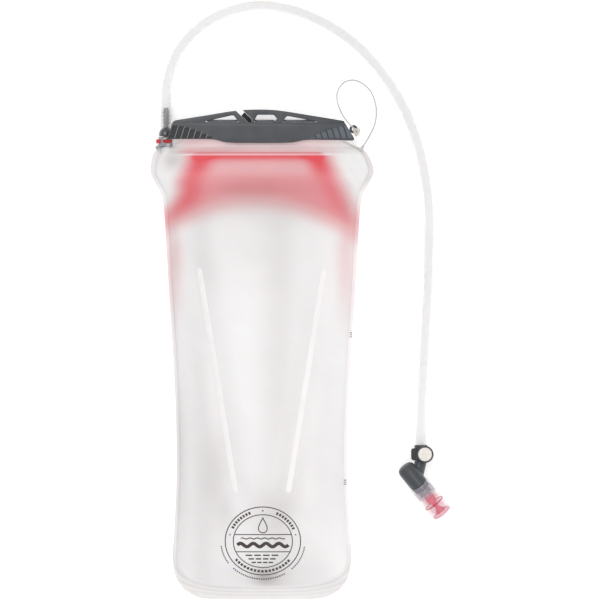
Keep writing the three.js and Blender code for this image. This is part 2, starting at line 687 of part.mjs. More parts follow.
function valveHousing() {
  const dome = onMouthAxis(turned([
    [0, 0], [3.4, 0.5], [5.6, 1.8], [6.9, 3.8], [ELBOW_RADIUS, 6.4], [ELBOW_RADIUS, ELBOW_END],
    [ELBOW_SPIGOT, ELBOW_END], [ELBOW_SPIGOT, ELBOW_SPIGOT_END], [0, ELBOW_SPIGOT_END],
  ], 24));
  const drum = hubRod(6.9, DRUM_LOW, DRUM_TOP, 24);
  const socket = rod([SOCKET_X, -64.9, LINE_Z], [SOCKET_X, -78, LINE_Z], 5.7);
  const neck = rod(NECK_FROM, NECK_TO, 5.2);
  const indexTab = onMouthAxis(box([-2, 15.5, ELBOW_RADIUS - 1], [2, 20.5, ELBOW_RADIUS + 0.25]));
  const tubeSeat = rod([SOCKET_X, -60, LINE_Z], [SOCKET_X, -67.7, LINE_Z], TUBE_RADIUS + 0.35);
  const inlet = rod([SOCKET_X + 0.6, -66, LINE_Z], [SOCKET_X + 0.6, -80, LINE_Z], 2.1);
  const neckBore = rod([138, -78, LINE_Z], NECK_TO, 2.1);
  const mouthBore = onMouthAxis(rod([0, 10, 0], [0, ELBOW_SPIGOT_END + 1, 0], 2.6));
  const rotorBore = hubRod(ROTOR_RADIUS + 0.45, ROTOR_LOW - 0.4, DRUM_TOP + 0.6, 20);
  return toGeometry(cutAll(
    joinAll(dome, drum, socket, neck, indexTab),
    tubeSeat, inlet, neckBore, mouthBore, rotorBore,
  ));
}

const ROTOR_RADIUS = 4.4;
const ROTOR_LOW = 3;
const SEAL_Z = 12.05;

function shutoffRotor() {
  const body = hubRod(ROTOR_RADIUS, ROTOR_LOW, KNOB_LOW - CLEARANCE, 20);
  const channel = rod([SOCKET_X + 0.6, -60, LINE_Z], [SOCKET_X + 0.6, -86, LINE_Z], 2);
  const screwHole = hubRod(SCREW_CLEAR, 10.4, KNOB_LOW + 1, 12);
  const groove = toSolid(hubRod(6, SEAL_Z - 0.55, SEAL_Z + 0.55)).subtract(toSolid(hubRod(3.5, 11, 13, 20)));
  return toGeometry(cutAll(toSolid(body), channel, screwHole).subtract(groove));
}

function rotorSeal() {
  return ringSeal(4.15, 0.48).translate(HUB_X, HUB_Y, SEAL_Z);
}

// The turning knob with its thumb tab, and the pale disc in its top.
function shutoffKnob() {
  const ring = hubRod(7.4, KNOB_LOW, KNOB_TOP, 32);
  const discRecess = hubRod(6.2, KNOB_TOP - 1, KNOB_TOP + 1, 32);
  const screwRecess = hubRod(3, KNOB_LOW + 1.7, KNOB_TOP, 20);
  const screwHole = hubRod(SCREW_CLEAR, KNOB_LOW - 1, KNOB_LOW + 2, 12);
  const tab = new THREE.Shape();
  tab.moveTo(-6, -5.2);
  tab.lineTo(-10.2, -5.2);
  tab.quadraticCurveTo(-12, -4.6, -12, -3);
  tab.lineTo(-12, 3);
  tab.quadraticCurveTo(-12, 5, -10.2, 5.2);
  tab.lineTo(-6, 5.2);
  tab.closePath();
  const lever = prism(tab, KNOB_LOW + 1.6, KNOB_TOP - 0.8).translate(HUB_X, HUB_Y, 0);
  return toGeometry(cutAll(joinAll(ring, lever), discRecess, screwRecess, screwHole));
}

function knobDisc() {
  return hubRod(5.9, KNOB_TOP - 0.7, KNOB_TOP + 0.4, 32);
}

function knobScrew() {
  const head = hubRod(2.6, KNOB_LOW + 2, KNOB_LOW + 3.1, 16);
  const shank = hubRod(SCREW_CORE, 10.8, KNOB_LOW + 2.3, 12);
  return toGeometry(joinAll(head, shank));
}

function lockCollar() {
  return onMouthAxis(turnedRing([
    [7.65, 21], [9.1, 21], [9.4, 21.4], [9.4, 32.6], [9.1, 33], [8.35, 33],
    [8.35, BITE_BACK - CLEARANCE], [7.65, BITE_BACK - CLEARANCE],
  ], 24));
}

function biteSleeve() {
  const bore = ELBOW_SPIGOT + 0.35;
  const chamber = 6.4;
  const groove = 8.35;
  const profile = [
    [bore, BITE_BACK], [8, BITE_BACK], [8, 34], [8.5, 38], [9, RING_LOW], [groove, RING_LOW], [groove, RING_HIGH],
    [9.1, RING_HIGH], [8.9, 47], [8.8, RIM_LOW], [8, RIM_LOW], [8, BITE_END - 0.6], [7, BITE_END], [0, BITE_END],
    [0, BITE_END - 1.8], [chamber, BITE_END - 1.8], [chamber, BITE_SEAT], [bore, BITE_SEAT], [bore, BITE_BACK],
  ];
  const slit = box([-4, 51, -0.3], [4, 54, 0.3]);
  return toGeometry(cutAll(toSolid(onMouthAxis(turned(profile, 24))), onMouthAxis(slit)));
}

function sleeveRing(inner, outer, low, high) {
  return onMouthAxis(turnedRing([[inner, low], [outer, low], [outer, high], [inner, high]], 24));
}

function biteCore() {
  return onMouthAxis(turnedRing([
    [1, BITE_SEAT], [3.6, BITE_SEAT], [4.4, 35], [4.4, 39.4], [2.4, 41.8], [2, 45], [3, 47.8], [4.6, 49.2],
    [4.6, BITE_END - 2.3], [1, BITE_END - 2.3],
  ], 24));
}

// ---- assembly -----------------------------------------------------------------------------------------------

const COLOURS = {
  film: { color: 0xe8e6e4, roughness: 0.45, metalness: 0 },
  whiteWeld: { color: 0xf6f4f1, roughness: 0.5, metalness: 0 },
  redFilm: { color: 0xe8525f, roughness: 0.5, metalness: 0 },
  slate: { color: 0x53565b, roughness: 0.45, metalness: 0 },
  black: { color: 0x151618, roughness: 0.6, metalness: 0 },
  clear: { color: 0xe6e7e9, roughness: 0.15, metalness: 0 },
  red: { color: 0xd31c1f, roughness: 0.25, metalness: 0 },
  cream: { color: 0xe4dfd4, roughness: 0.5, metalness: 0 },
  pink: { color: 0xe2667f, roughness: 0.35, metalness: 0 },
  steel: { color: 0xb8babd, roughness: 0.3, metalness: 1 },
};

const model = new THREE.Group();

function place(name, geometry, look) {
  const piece = new THREE.Mesh(weldVertices(geometry), new THREE.MeshStandardMaterial(COLOURS[look]));
  piece.name = name;
  model.add(piece);
}

place('front_film', film('front'), 'film');
place('back_film', film('back'), 'film');
place('weld_rib_left', weldRib(-1), 'whiteWeld');
place('weld_rib_right', weldRib(1), 'whiteWeld');
place('baffle_web_left', baffleWeb(-1), 'film');
place('baffle_web_right', baffleWeb(1), 'film');
place('inner_liner', innerLiner(), 'redFilm');
place('mouth_rail_front', mouthRail(1), 'film');
place('mouth_rail_back', mouthRail(-1), 'film');

place('closure_bar', closureBar(), 'slate');
place('hook_pad', hookPad(), 'black');
place('tether', cord(TETHER_ROUTE, TETHER_RADIUS, 0, 4, 34), 'clear');
place('tether_knot', tetherKnot(), 'clear');
place('tether_anchor', tetherAnchor(), 'clear');

place('port_body', portBody(), 'clear');
place('release_latch', releaseLatch(), 'red');
place('plug_body', plugBody(), 'slate');
place('plug_cap', plugCap(), 'slate');
place('plug_seal', plugSeal(), 'black');
place('check_valve_poppet', valvePoppet(), 'cream');
place('check_valve_spring', valveSpring(), 'steel');

place('drinking_tube', cord(TUBE_ROUTE, TUBE_RADIUS, TUBE_BORE, 5, TUBE_STEPS), 'clear');

place('valve_housing', valveHousing(), 'slate');
place('shutoff_rotor', shutoffRotor(), 'cream');
place('shutoff_seal', rotorSeal(), 'black');
place('shutoff_knob', shutoffKnob(), 'slate');
place('knob_disc', knobDisc(), 'cream');
place('knob_screw', knobScrew(), 'steel');
place('lock_collar', lockCollar(), 'clear');
place('bite_sleeve', biteSleeve(), 'clear');
place('bite_ring', sleeveRing(8.65, 9.4, RING_LOW + 0.4, RING_HIGH - 0.4), 'pink');
place('bite_rim', sleeveRing(8.3, 8.85, RIM_LOW + CLEARANCE, BITE_END - 0.2), 'pink');
place('bite_core', biteCore(), 'pink');

export default model;
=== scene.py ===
"""Hydration bladder: the looks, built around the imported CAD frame.

Shapes are worked out in millimetres in the part's frame and turned into metres as each mesh is made.
"""
import math

import bmesh
import bpy
from mathutils import Matrix, Vector, noise


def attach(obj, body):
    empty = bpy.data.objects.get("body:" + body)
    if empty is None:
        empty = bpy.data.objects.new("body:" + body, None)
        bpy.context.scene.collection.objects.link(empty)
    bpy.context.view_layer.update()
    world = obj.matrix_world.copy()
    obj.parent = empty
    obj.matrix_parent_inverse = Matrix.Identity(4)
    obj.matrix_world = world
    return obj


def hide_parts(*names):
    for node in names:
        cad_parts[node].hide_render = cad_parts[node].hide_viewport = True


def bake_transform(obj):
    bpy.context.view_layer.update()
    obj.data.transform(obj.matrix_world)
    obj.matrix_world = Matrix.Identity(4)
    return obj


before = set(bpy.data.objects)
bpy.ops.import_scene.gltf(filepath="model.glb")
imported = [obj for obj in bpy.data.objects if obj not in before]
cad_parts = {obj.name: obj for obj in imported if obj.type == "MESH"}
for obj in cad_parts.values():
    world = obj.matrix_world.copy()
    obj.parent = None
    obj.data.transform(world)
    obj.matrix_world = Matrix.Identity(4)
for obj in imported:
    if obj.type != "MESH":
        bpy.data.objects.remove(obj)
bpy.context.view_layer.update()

MM = 0.001
TAU = 2 * math.pi

# ---- camera --------------------------------------------------------------------------------------

# In metres, but for the sensor, which is in millimetres. The height is from the part's middle.
CAMERA_HEIGHT = 4.0
PART_MIDDLE = 0.012
VIEW_CENTRE = (0.0328, 0.0605)
VIEW_WIDTH = 0.5184
SENSOR = 36.0


def add_camera():
    """A long lens that looks straight down at the part lying on the floor."""
    data = bpy.data.cameras.new("camera")
    data.sensor_width = SENSOR
    data.lens = SENSOR * CAMERA_HEIGHT / VIEW_WIDTH
    data.clip_end = 20
    camera = bpy.data.objects.new("camera", data)
    camera.location = (*VIEW_CENTRE, CAMERA_HEIGHT + PART_MIDDLE)
    bpy.context.scene.collection.objects.link(camera)
    bpy.context.scene.camera = camera


# ---- curves and meshes ---------------------------------------------------------------------------


def smoothstep(low, high, value):
    share = min(max((value - low) / (high - low), 0.0), 1.0)
    return share * share * (3 - 2 * share)


def mix(a, b, share):
    return a + (b - a) * share


def bump(value, centre, width):
    """A bell of height 1."""
    return math.exp(-(((value - centre) / width) ** 2))


def spline_point(points, share):
    """The point at a share of a centripetal Catmull-Rom curve through the points."""
    spans = len(points) - 1
    place = min(max(share, 0.0), 1.0) * spans
    span = min(int(place), spans - 1)
    t = place - span
    p1, p2 = points[span], points[span + 1]
    p0 = points[span - 1] if span > 0 else 2 * p1 - p2
    p3 = points[span + 2] if span + 2 <= spans else 2 * p2 - p1
    step1 = math.sqrt((p2 - p1).length)
    step1 = step1 if step1 > 1e-4 else 1.0
    step0 = math.sqrt((p1 - p0).length)
    step0 = step0 if step0 > 1e-4 else step1
    step2 = math.sqrt((p3 - p2).length)
    step2 = step2 if step2 > 1e-4 else step1
    m1 = ((p1 - p0) / step0 - (p2 - p0) / (step0 + step1) + (p2 - p1) / step1) * step1
    m2 = ((p2 - p1) / step1 - (p3 - p1) / (step1 + step2) + (p3 - p2) / step2) * step1
    return p1 + m1 * t + (3 * (p2 - p1) - 2 * m1 - m2) * t ** 2 + (2 * (p1 - p2) + m1 + m2) * t ** 3


def smooth_route(points, steps):
    vectors = [Vector(point) for point in points]
    return [spline_point(vectors, k / steps) for k in range(steps + 1)]


def make_object(name, verts, faces, smooth_angle=35):
    """A mesh object from points in millimetres."""
    mesh = bpy.data.meshes.new(name)
    mesh.from_pydata([tuple(Vector(v) * MM) for v in verts], [], faces)
    mesh.validate()
    obj = bpy.data.objects.new(name, mesh)
    bpy.context.scene.collection.objects.link(obj)
    outward(obj)
    soften(obj, smooth_angle)
    return obj


def outward(obj):
    work = bmesh.new()
    work.from_mesh(obj.data)
    bmesh.ops.recalc_face_normals(work, faces=work.faces)
    work.to_mesh(obj.data)
    work.free()


def soften(obj, angle=35):
    """Smooth shading that stays sharp where faces meet at more than the angle."""
    for face in obj.data.polygons:
        face.use_smooth = True
    obj.data.set_sharp_from_angle(angle=math.radians(angle))


def bevel(obj, width, segments, angle):
    """A rounded edge, in millimetres, wherever faces meet at more than the angle."""
    modifier = obj.modifiers.new("edges", "BEVEL")
    modifier.width = width * MM
    modifier.segments = segments
    modifier.limit_method = "ANGLE"
    modifier.angle_limit = math.radians(angle)
    modifier.harden_normals = False


def apply_modifiers(obj):
    bpy.context.view_layer.update()
    graph = bpy.context.evaluated_depsgraph_get()
    mesh = bpy.data.meshes.new_from_object(obj.evaluated_get(graph))
    obj.modifiers.clear()
    obj.data = mesh


def rounded(obj, width, segments=2, angle=30):
    """The object with its edges rounded for good, ready to be cut or joined."""
    bevel(obj, width, segments, angle)
    apply_modifiers(obj)
    return obj


def join(name, objects):
    """One object from several, with their material slots kept."""
    bpy.ops.object.select_all(action="DESELECT")
    for obj in objects:
        obj.select_set(True)
    bpy.context.view_layer.objects.active = objects[0]
    bpy.ops.object.join()
    objects[0].name = name
    return objects[0]


def tube(name, route, radius, bore, sides):
    """A round cord or hose along a route, hollow where it has a bore."""
    verts, faces = [], []
    radii = [radius, bore] if bore > 0 else [radius]
    side = None
    for k, point in enumerate(route):
        ahead = (route[min(k + 1, len(route) - 1)] - route[max(k - 1, 0)]).normalized()
        side = ahead.orthogonal() if side is None else side - ahead * side.dot(ahead)
        side = side.normalized()
        other = ahead.cross(side)
        for size in radii:
            for s in range(sides):
                turn = TAU * s / sides
                verts.append(point + (side * math.cos(turn) + other * math.sin(turn)) * size)
    ring = sides * len(radii)
    for k in range(len(route) - 1):
        for layer in range(len(radii)):
            for s in range(sides):
                a = k * ring + layer * sides + s
                b = k * ring + layer * sides + (s + 1) % sides
                faces.append((a, b, b + ring, a + ring) if layer == 0 else (b, a, a + ring, b + ring))
    last = (len(route) - 1) * ring
    for s in range(sides):
        t = (s + 1) % sides
        if bore > 0:
            faces.append((s, s + sides, t + sides, t))
            faces.append((last + s, last + t, last + t + sides, last + s + sides))
    if bore <= 0:
        faces.append(tuple(reversed(range(sides))))
        faces.append(tuple(range(last, last + sides)))
    return make_object(name, verts, faces, 60)


def turned(name, profile, place, sides):
    """A lathed solid. The profile is a closed loop of radius and height along the local +Y axis."""
    verts, faces, rings = [], [], []
    for radius, height in profile:
        if radius < 1e-6:
            rings.append([len(verts)] * sides)
            verts.append(place @ Vector((0, height, 0)))
            continue
        rings.append(list(range(len(verts), len(verts) + sides)))
        for s in range(sides):
            turn = TAU * s / sides
            verts.append(place @ Vector((radius * math.cos(turn), height, radius * math.sin(turn))))
    for low, high in zip(rings, rings[1:] + rings[:1]):
        if low[0] == low[-1] and high[0] == high[-1]:
            continue
        for s in range(sides):
            corners = [low[s], low[(s + 1) % sides], high[(s + 1) % sides], high[s]]
            faces.append(tuple(dict.fromkeys(corners)))
    return make_object(name, verts, faces)


def along(origin, direction):
    """The place of a turned piece whose axis starts at a point and runs in a direction."""
    spin = Vector((0, 1, 0)).rotation_difference(Vector(direction).normalized())
    return Matrix.Translation(Vector(origin)) @ spin.to_matrix().to_4x4()


def prism(name, outline, z_low, z_high, holes=()):
    """A flat plate with straight walls between two heights, from outlines in the XY plane."""
    work = bmesh.new()
    loops = []
    for points in [outline, *holes]:
        ring = [work.verts.new((x * MM, y * MM, z_low * MM)) for x, y in points]
        loops.append([work.edges.new((a, b)) for a, b in zip(ring, ring[1:] + ring[:1])])
    bmesh.ops.triangle_fill(work, use_beauty=True, edges=[edge for loop in loops for edge in loop])
    bmesh.ops.dissolve_limit(work, angle_limit=0.01, verts=work.verts, edges=work.edges)
    raised = bmesh.ops.extrude_face_region(work, geom=work.faces[:])
    lifted = [item for item in raised["geom"] if isinstance(item, bmesh.types.BMVert)]
    bmesh.ops.translate(work, verts=lifted, vec=(0, 0, (z_high - z_low) * MM))
    bmesh.ops.recalc_face_normals(work, faces=work.faces)
    mesh = bpy.data.meshes.new(name)
    work.to_mesh(mesh)
    work.free()
    obj = bpy.data.objects.new(name, mesh)
    bpy.context.scene.collection.objects.link(obj)
    return obj


def boolean(obj, other, operation):
    """Cuts or joins one closed mesh with another and removes the other."""
    modifier = obj.modifiers.new("boolean", "BOOLEAN")
    modifier.operation = operation
    modifier.solver = "MANIFOLD"
    modifier.material_mode = "TRANSFER"
    modifier.object = other
    apply_modifiers(obj)
    bpy.data.objects.remove(other)
    return obj


def bezier(a, control, b, steps=6):
    """Points of a quadratic curve after its first point."""
    result = []
    for k in range(1, steps + 1):
        t = k / steps
        near, middle, far = (1 - t) ** 2, 2 * t * (1 - t), t * t
        result.append(tuple(near * p + middle * c + far * q for p, c, q in zip(a, control, b)))
    return result


def box(name, low, high):
    corners = [(low[0], low[1]), (high[0], low[1]), (high[0], high[1]), (low[0], high[1])]
    return prism(name, corners, low[2], high[2])


def thin_shell(name, top, bottom, wide, smooth_angle):
    """A closed sheet between two layers of points, which stand in rows of the same width."""
    size = len(top)
    last = size // wide - 1
    faces = []
    for j in range(last):
        for i in range(wide - 1):
            a = j * wide + i
            faces.append((a, a + 1, a + wide + 1, a + wide))
            faces.append((a + size, a + wide + size, a + wide + 1 + size, a + 1 + size))
    rim = [j * wide for j in range(last + 1)] + [last * wide + i for i in range(1, wide)]
    rim += [j * wide + wide - 1 for j in range(last - 1, -1, -1)] + list(range(wide - 2, 0, -1))
    for a, b in zip(rim, rim[1:] + rim[:1]):
        faces.append((a, b, b + size, a + size))
    return make_object(name, top + bottom, faces, smooth_angle)


# ---- materials -----------------------------------------------------------------------------------


def from_srgb(red, green, blue):
    """A linear colour from 8-bit screen values."""
    return tuple((c / 12.92 if c <= 0.04045 else ((c + 0.055) / 1.055) ** 2.4)
                 for c in (red / 255, green / 255, blue / 255)) + (1.0,)


# The sockets of a Mix node that mixes colours.
MIX_FACTOR, MIX_FIRST, MIX_SECOND = 0, 6, 7
MIXED = 2


class Looks:
    """A node material: one Principled shader with procedural colour, roughness and bump."""

    def __init__(self, name, **sockets):
        self.material = bpy.data.materials.new(name)
        self.material.use_nodes = True
        self.nodes = self.material.node_tree.nodes
        self.links = self.material.node_tree.links
        self.shader = self.nodes["Principled BSDF"]
        for key, value in sockets.items():
            self.shader.inputs[key.replace("_", " ")].default_value = value
        self.coords = self.nodes.new("ShaderNodeTexCoord").outputs["Object"]

    def noise(self, scale, detail):
        texture = self.nodes.new("ShaderNodeTexNoise")
        texture.inputs["Scale"].default_value = scale
        texture.inputs["Detail"].default_value = detail
        self.links.new(self.coords, texture.inputs["Vector"])
        return texture.outputs["Fac"]

    def attribute(self, name):
        node = self.nodes.new("ShaderNodeAttribute")
        node.attribute_name = name
        return node.outputs["Fac"]

    def ramp(self, source, stops):
        node = self.nodes.new("ShaderNodeValToRGB")
        elements = node.color_ramp.elements
        while len(elements) < len(stops):
            elements.new(0.5)
        for element, (place, colour) in zip(elements, stops):
            element.position = place
            element.color = colour
        self.links.new(source, node.inputs["Fac"])
        return node.outputs["Color"]

    def mixed(self, factor, first, second, mode="MIX"):
        node = self.nodes.new("ShaderNodeMix")
        node.data_type = "RGBA"
        node.blend_type = mode
        for socket, value in ((MIX_FACTOR, factor), (MIX_FIRST, first), (MIX_SECOND, second)):
            if isinstance(value, bpy.types.NodeSocket):
                self.links.new(value, node.inputs[socket])
            else:
                node.inputs[socket].default_value = value
        return node.outputs[MIXED]

    def colour(self, source):
        self.links.new(source, self.shader.inputs["Base Color"])

    def roughness(self, source, low, high):
        node = self.nodes.new("ShaderNodeMapRange")
        node.inputs["To Min"].default_value = low
        node.inputs["To Max"].default_value = high
        self.links.new(source, node.inputs["Value"])
        self.links.new(node.outputs["Result"], self.shader.inputs["Roughness"])

    def bump(self, source, strength, distance):
        node = self.nodes.new("ShaderNodeBump")
        node.inputs["Strength"].default_value = strength
        node.inputs["Distance"].default_value = distance
        self.links.new(source, node.inputs["Height"])
        self.links.new(node.outputs["Normal"], self.shader.inputs["Normal"])


def grained(name, dark, light, rough, grain, patch, height, sockets):
    """Moulded plastic or rubber: a fine grain over slow changes between two tones."""
    looks = Looks(name, **sockets)
    slow = looks.noise(patch, 2)
    fine = looks.noise(grain, 2)
    dark, light = from_srgb(*dark), from_srgb(*light)
    tone = looks.ramp(slow, [(0.35, dark), (0.65, light)])
    looks.colour(looks.mixed(0.25, tone, looks.ramp(fine, [(0.3, dark), (0.7, light)])))
    looks.roughness(slow, *rough)
    if height:
        looks.bump(fine, 0.25, height)
    return looks.material


def film_material():
    """Frosted film. The mesh carries how red it is and how much painted shade lies on it at each point."""
    looks = Looks("frosted_film", Subsurface_Weight=0.12, Subsurface_Scale=0.004, Coat_Weight=0.12,
                  Coat_Roughness=0.35)
    mottle = looks.noise(38, 3)
    haze = looks.noise(900, 2)
    base = looks.ramp(mottle, [(0.3, from_srgb(242, 238, 239)), (0.7, from_srgb(246, 242, 243))])
    # The painted shade darkens the film towards this grey.
    shaded = looks.mixed(looks.attribute("painted_shade"), base, from_srgb(150, 146, 144))
    red = looks.ramp(looks.attribute("tint"), [
        (0.0, from_srgb(255, 252, 251)), (0.25, from_srgb(247, 206, 207)), (0.5, from_srgb(243, 164, 168)),
        (0.75, from_srgb(242, 124, 132)), (1.0, from_srgb(242, 84, 92)),
    ])
    looks.colour(looks.mixed(1.0, shaded, red, "MULTIPLY"))
    looks.roughness(haze, 0.42, 0.56)
    looks.bump(haze, 0.12, 0.00002)
    return looks.material


# Moulded looks: material name, dark and light tone, least and most roughness, scale of the grain and of
# the slow patches, height of the grain in metres, and the shader's other values.
MOULDED = {
    "weld": ("milky_weld", (238, 234, 234), (244, 240, 240), (0.4, 0.55), 1500, 90, 0.00002, {}),
    "liner": ("red_liner", (214, 70, 80), (230, 96, 102), (0.4, 0.5), 1800, 60, 0.00003, {}),
    "slate": ("slate_plastic", (64, 67, 71), (72, 75, 79), (0.34, 0.46), 2600, 70, 0.00002, {}),
    # Paler slate: a painted highlight on the window sills.
    "sill": ("slate_sill_painted_highlight", (98, 100, 104), (108, 110, 114), (0.3, 0.4), 2600, 70, 0.00002, {}),
    # Dark slate: painted shade in the grip's pockets, the slide channel and on the rib crests at the bar's
    # right end; also the knob's lever tab.
    "pocket": ("dark_slate_and_painted_shade", (34, 36, 38), (42, 44, 46), (0.45, 0.6), 2200, 60, 0.00003, {}),
    # Pale slate: a painted highlight on the crests of the grip's ribs at the bar's left end.
    "rib_highlight": ("slate_rib_painted_highlight", (122, 122, 124), (136, 136, 138), (0.3, 0.4), 2600, 60, 0.00003, {}),
    # Pale bluish slate: a painted highlight on the floors of the grip's pockets at the right end of the front
    # face.
    "pocket_highlight": ("slate_painted_highlight_in_pockets", (80, 88, 96), (94, 102, 110), (0.3, 0.4), 2200, 60, 0.00003, {}),
    "grey": ("grey_plastic", (72, 73, 77), (88, 88, 93), (0.1, 0.18), 1500, 50, 0.00001,
             {"Coat_Weight": 0.6}),
    "rubber": ("black_rubber", (16, 16, 17), (26, 26, 27), (0.55, 0.7), 1800, 60, 0.00003, {}),
    "port": ("port_plastic", (148, 148, 152), (182, 182, 186), (0.1, 0.18), 1200, 160, 0.00001,
             {"Transmission_Weight": 0.3, "Coat_Weight": 0.6}),
    "red": ("red_plastic", (172, 12, 16), (198, 22, 24), (0.08, 0.14), 1200, 90, 0.00001,
            {"Coat_Weight": 0.7}),
    "cream": ("cream_plastic", (222, 217, 208), (236, 232, 225), (0.45, 0.55), 1300, 420, 0.00003, {}),
    "steel": ("spring_steel", (178, 178, 182), (206, 206, 210), (0.2, 0.32), 1500, 60, 0.00003,
              {"Metallic": 1.0}),
    "tube": ("clear_tube", (232, 231, 231), (237, 236, 236), (0.1, 0.15), 4000, 12, 0,
             {"Transmission_Weight": 0.4, "IOR": 1.3, "Alpha": 0.34}),
    "cord": ("clear_cord", (182, 182, 185), (198, 198, 201), (0.15, 0.25), 1500, 120, 0,
             {"Coat_Weight": 0.3}),
    "knot": ("cord_knot", (206, 201, 192), (224, 220, 212), (0.3, 0.45), 1500, 300, 0.00002, {}),
    "collar": ("clear_plastic", (180, 178, 188), (200, 198, 207), (0.06, 0.1), 3000, 90, 0,
               {"Alpha": 0.22, "Coat_Weight": 0.5}),
    "silicone": ("clear_silicone", (226, 180, 190), (234, 196, 204), (0.3, 0.4), 3000, 90, 0,
                 {"Alpha": 0.2}),
    "pink": ("pink_silicone", (222, 18, 74), (232, 36, 90), (0.25, 0.38), 1500, 70, 0.00001,
             {"Subsurface_Weight": 0.1, "Subsurface_Scale": 0.001}),
    "pale_pink": ("pink_silicone_thin", (206, 26, 80), (216, 44, 94), (0.2, 0.3), 1500, 70, 0,
                  {"Alpha": 0.52}),
    "blush": ("pink_silicone_edge", (214, 104, 132), (222, 122, 148), (0.2, 0.3), 1500, 70, 0,
              {"Alpha": 0.34, "Coat_Weight": 0.3}),
    "ink": ("print_ink", (58, 50, 48), (74, 66, 63), (0.5, 0.65), 3000, 60, 0.00003, {}),
}


def make_materials():
    looks = {look: grained(*values) for look, values in MOULDED.items()}
    looks["film"] = film_material()
    return looks


def dress(obj, material):
    obj.data.materials.clear()
    obj.data.materials.append(material)
    return obj


def declare(obj, slot, body, *nodes):
    """Hangs a piece on the body it rides on and hides the CAD nodes it stands for. The slot argument is not
    used.
    """
    if nodes:
        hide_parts(*nodes)
    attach(obj, body)


# ---- cords ---------------------------------------------------------------------------------------

# The drinking tube's middle line, in metres, from the plug over the floor to the shut-off valve.
TUBE_ROUTE = [
    (-0.083, 0.2096, 0.0079), (-0.083, 0.219, 0.0079), (-0.083, 0.2285, 0.0079), (-0.083, 0.2385, 0.0073),
    (-0.082, 0.2495, 0.0062), (-0.0788, 0.2625, 0.0052), (-0.073, 0.2755, 0.0049), (-0.0635, 0.288, 0.0049),
    (-0.05, 0.3, 0.0049), (-0.032, 0.3095, 0.0049), (-0.0115, 0.315, 0.0049), (0.009, 0.3153, 0.0049),
    (0.0297, 0.3106, 0.0049), (0.0494, 0.3028, 0.0049), (0.0678, 0.2921, 0.0049), (0.0844, 0.2789, 0.0049),
    (0.099, 0.2634, 0.0049), (0.1115, 0.2464, 0.0049), (0.122, 0.228, 0.0049), (0.1303, 0.209, 0.0049),
    (0.1365, 0.189, 0.0049), (0.141, 0.1685, 0.0049), (0.1437, 0.148, 0.0049), (0.1446, 0.122, 0.0049),
    (0.1441, 0.092, 0.0049), (0.1427, 0.06, 0.0049), (0.141, 0.028, 0.0049), (0.1392, -0.004, 0.0049),
    (0.138, -0.03, 0.0056), (0.1375, -0.05, 0.0073), (0.1374, -0.06, 0.008), (0.1374, -0.0673, 0.008),
]
TUBE_RADIUS = 4.75
TUBE_BORE = 3.4
TUBE_SIDES = 36

# The tether's middle line, in metres, from its anchor on the shoulder to its knot on the closure bar.
TETHER_ROUTE = [
    (0.0874, 0.1934, 0.0102), (0.09, 0.1974, 0.008), (0.094, 0.2045, 0.0048), (0.0976, 0.213, 0.0024),
    (0.099, 0.223, 0.0011), (0.0977, 0.2325, 0.0008), (0.0935, 0.242, 0.0008), (0.087, 0.248, 0.0008),
    (0.0795, 0.251, 0.0008), (0.0723, 0.2497, 0.0009), (0.0678, 0.2458, 0.0024), (0.065, 0.2395, 0.007),
    (0.0648, 0.2335, 0.014), (0.0658, 0.2285, 0.0215), (0.0674, 0.224, 0.0254), (0.07, 0.219, 0.0266),
    (0.0736, 0.214, 0.027), (0.0775, 0.2098, 0.027), (0.0808, 0.2068, 0.0265),
]
TETHER_RADIUS = 0.65
TETHER_SIDES = 12


def make_tube(looks):
    route = smooth_route([Vector(point) / MM for point in TUBE_ROUTE], 372)
    hose = tube("drinking_hose", route, TUBE_RADIUS, TUBE_BORE, TUBE_SIDES)
    dress(hose, looks["tube"])
    declare(hose, "clear_tube", "drinking_line", "drinking_tube")


def make_tether(looks):
    route = smooth_route([Vector(point) / MM for point in TETHER_ROUTE], 216)
    cord = tube("tether_cord", route, TETHER_RADIUS, 0, TETHER_SIDES)
    dress(cord, looks["cord"])
    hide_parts("tether")
    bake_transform(cord)


# ---- the bag's surface ---------------------------------------------------------------------------

WELD_GAP = 0.15
FILM = 0.7
WELD_SHARE = 0.04
PORT_X = -83.0
PORT_Z = 7.9
SPIGOT_RADIUS = 4.6

# Cross-sections of the bag from the bottom weld to the mouth:
# y, half width, height of the weld, rise of the front film and drop of the back film at the middle.
STATIONS = [
    (-198.5, 44, 2.6, 0, 0), (-196.5, 56, 2.6, 0, 0), (-189.5, 67.5, 3, 0.6, 0), (-179, 74.5, 4, 7, 2),
    (-163, 77.2, 6.5, 17, 7), (-140, 76, 10, 26, 12), (-100, 74, 13, 31, 16), (-50, 74, 15, 33, 18),
    (10, 76.6, 15.5, 34, 19), (65, 80.2, 15.5, 33, 19), (110, 82.8, 14, 32, 17), (138, 84.8, 12.5, 30.5, 14),
    (151, 87, 11, 29, 11), (161, 92, 9.5, 26, 6.5), (171, 96.5, 8.5, 23, 2.5), (181, 94.3, 8, 18.5, -3),
    (190, 88.3, 7.9, 14.3, -9.5), (193.5, 81, 9.5, 11.4, -9.6), (196.5, 74.5, 15, 5.5, -4.6),
    (199, 72, 20, 0, 0), (204, 72, 20, 0, 0),
]
RIB_LOW = (22.6, -105.0)
RIB_HIGH = (54.0, 88.0)
RIB_WIDTH = 4.8
# The inner edge of the bottom weld: a rounded box of this half width and depth below this height.
BOTTOM_HALF = 73.5
BOTTOM_DEPTH = 37
BOTTOM_START = -150
BOTTOM_ROUNDING = 3.4


def make_rows(count):
    """Fine cross-sections: y, half width, weld height, front rise and back drop."""
    edge = [Vector((half, y, z)) for y, half, z, _, _ in STATIONS]
    full = [Vector((front, back, 0)) for _, _, _, front, back in STATIONS]
    rows = []
    for k in range(count + 1):
        a, b = spline_point(edge, k / count), spline_point(full, k / count)
        rows.append((a.y, a.x, a.z, b.x, b.y))
    return rows


ROWS = make_rows(260)


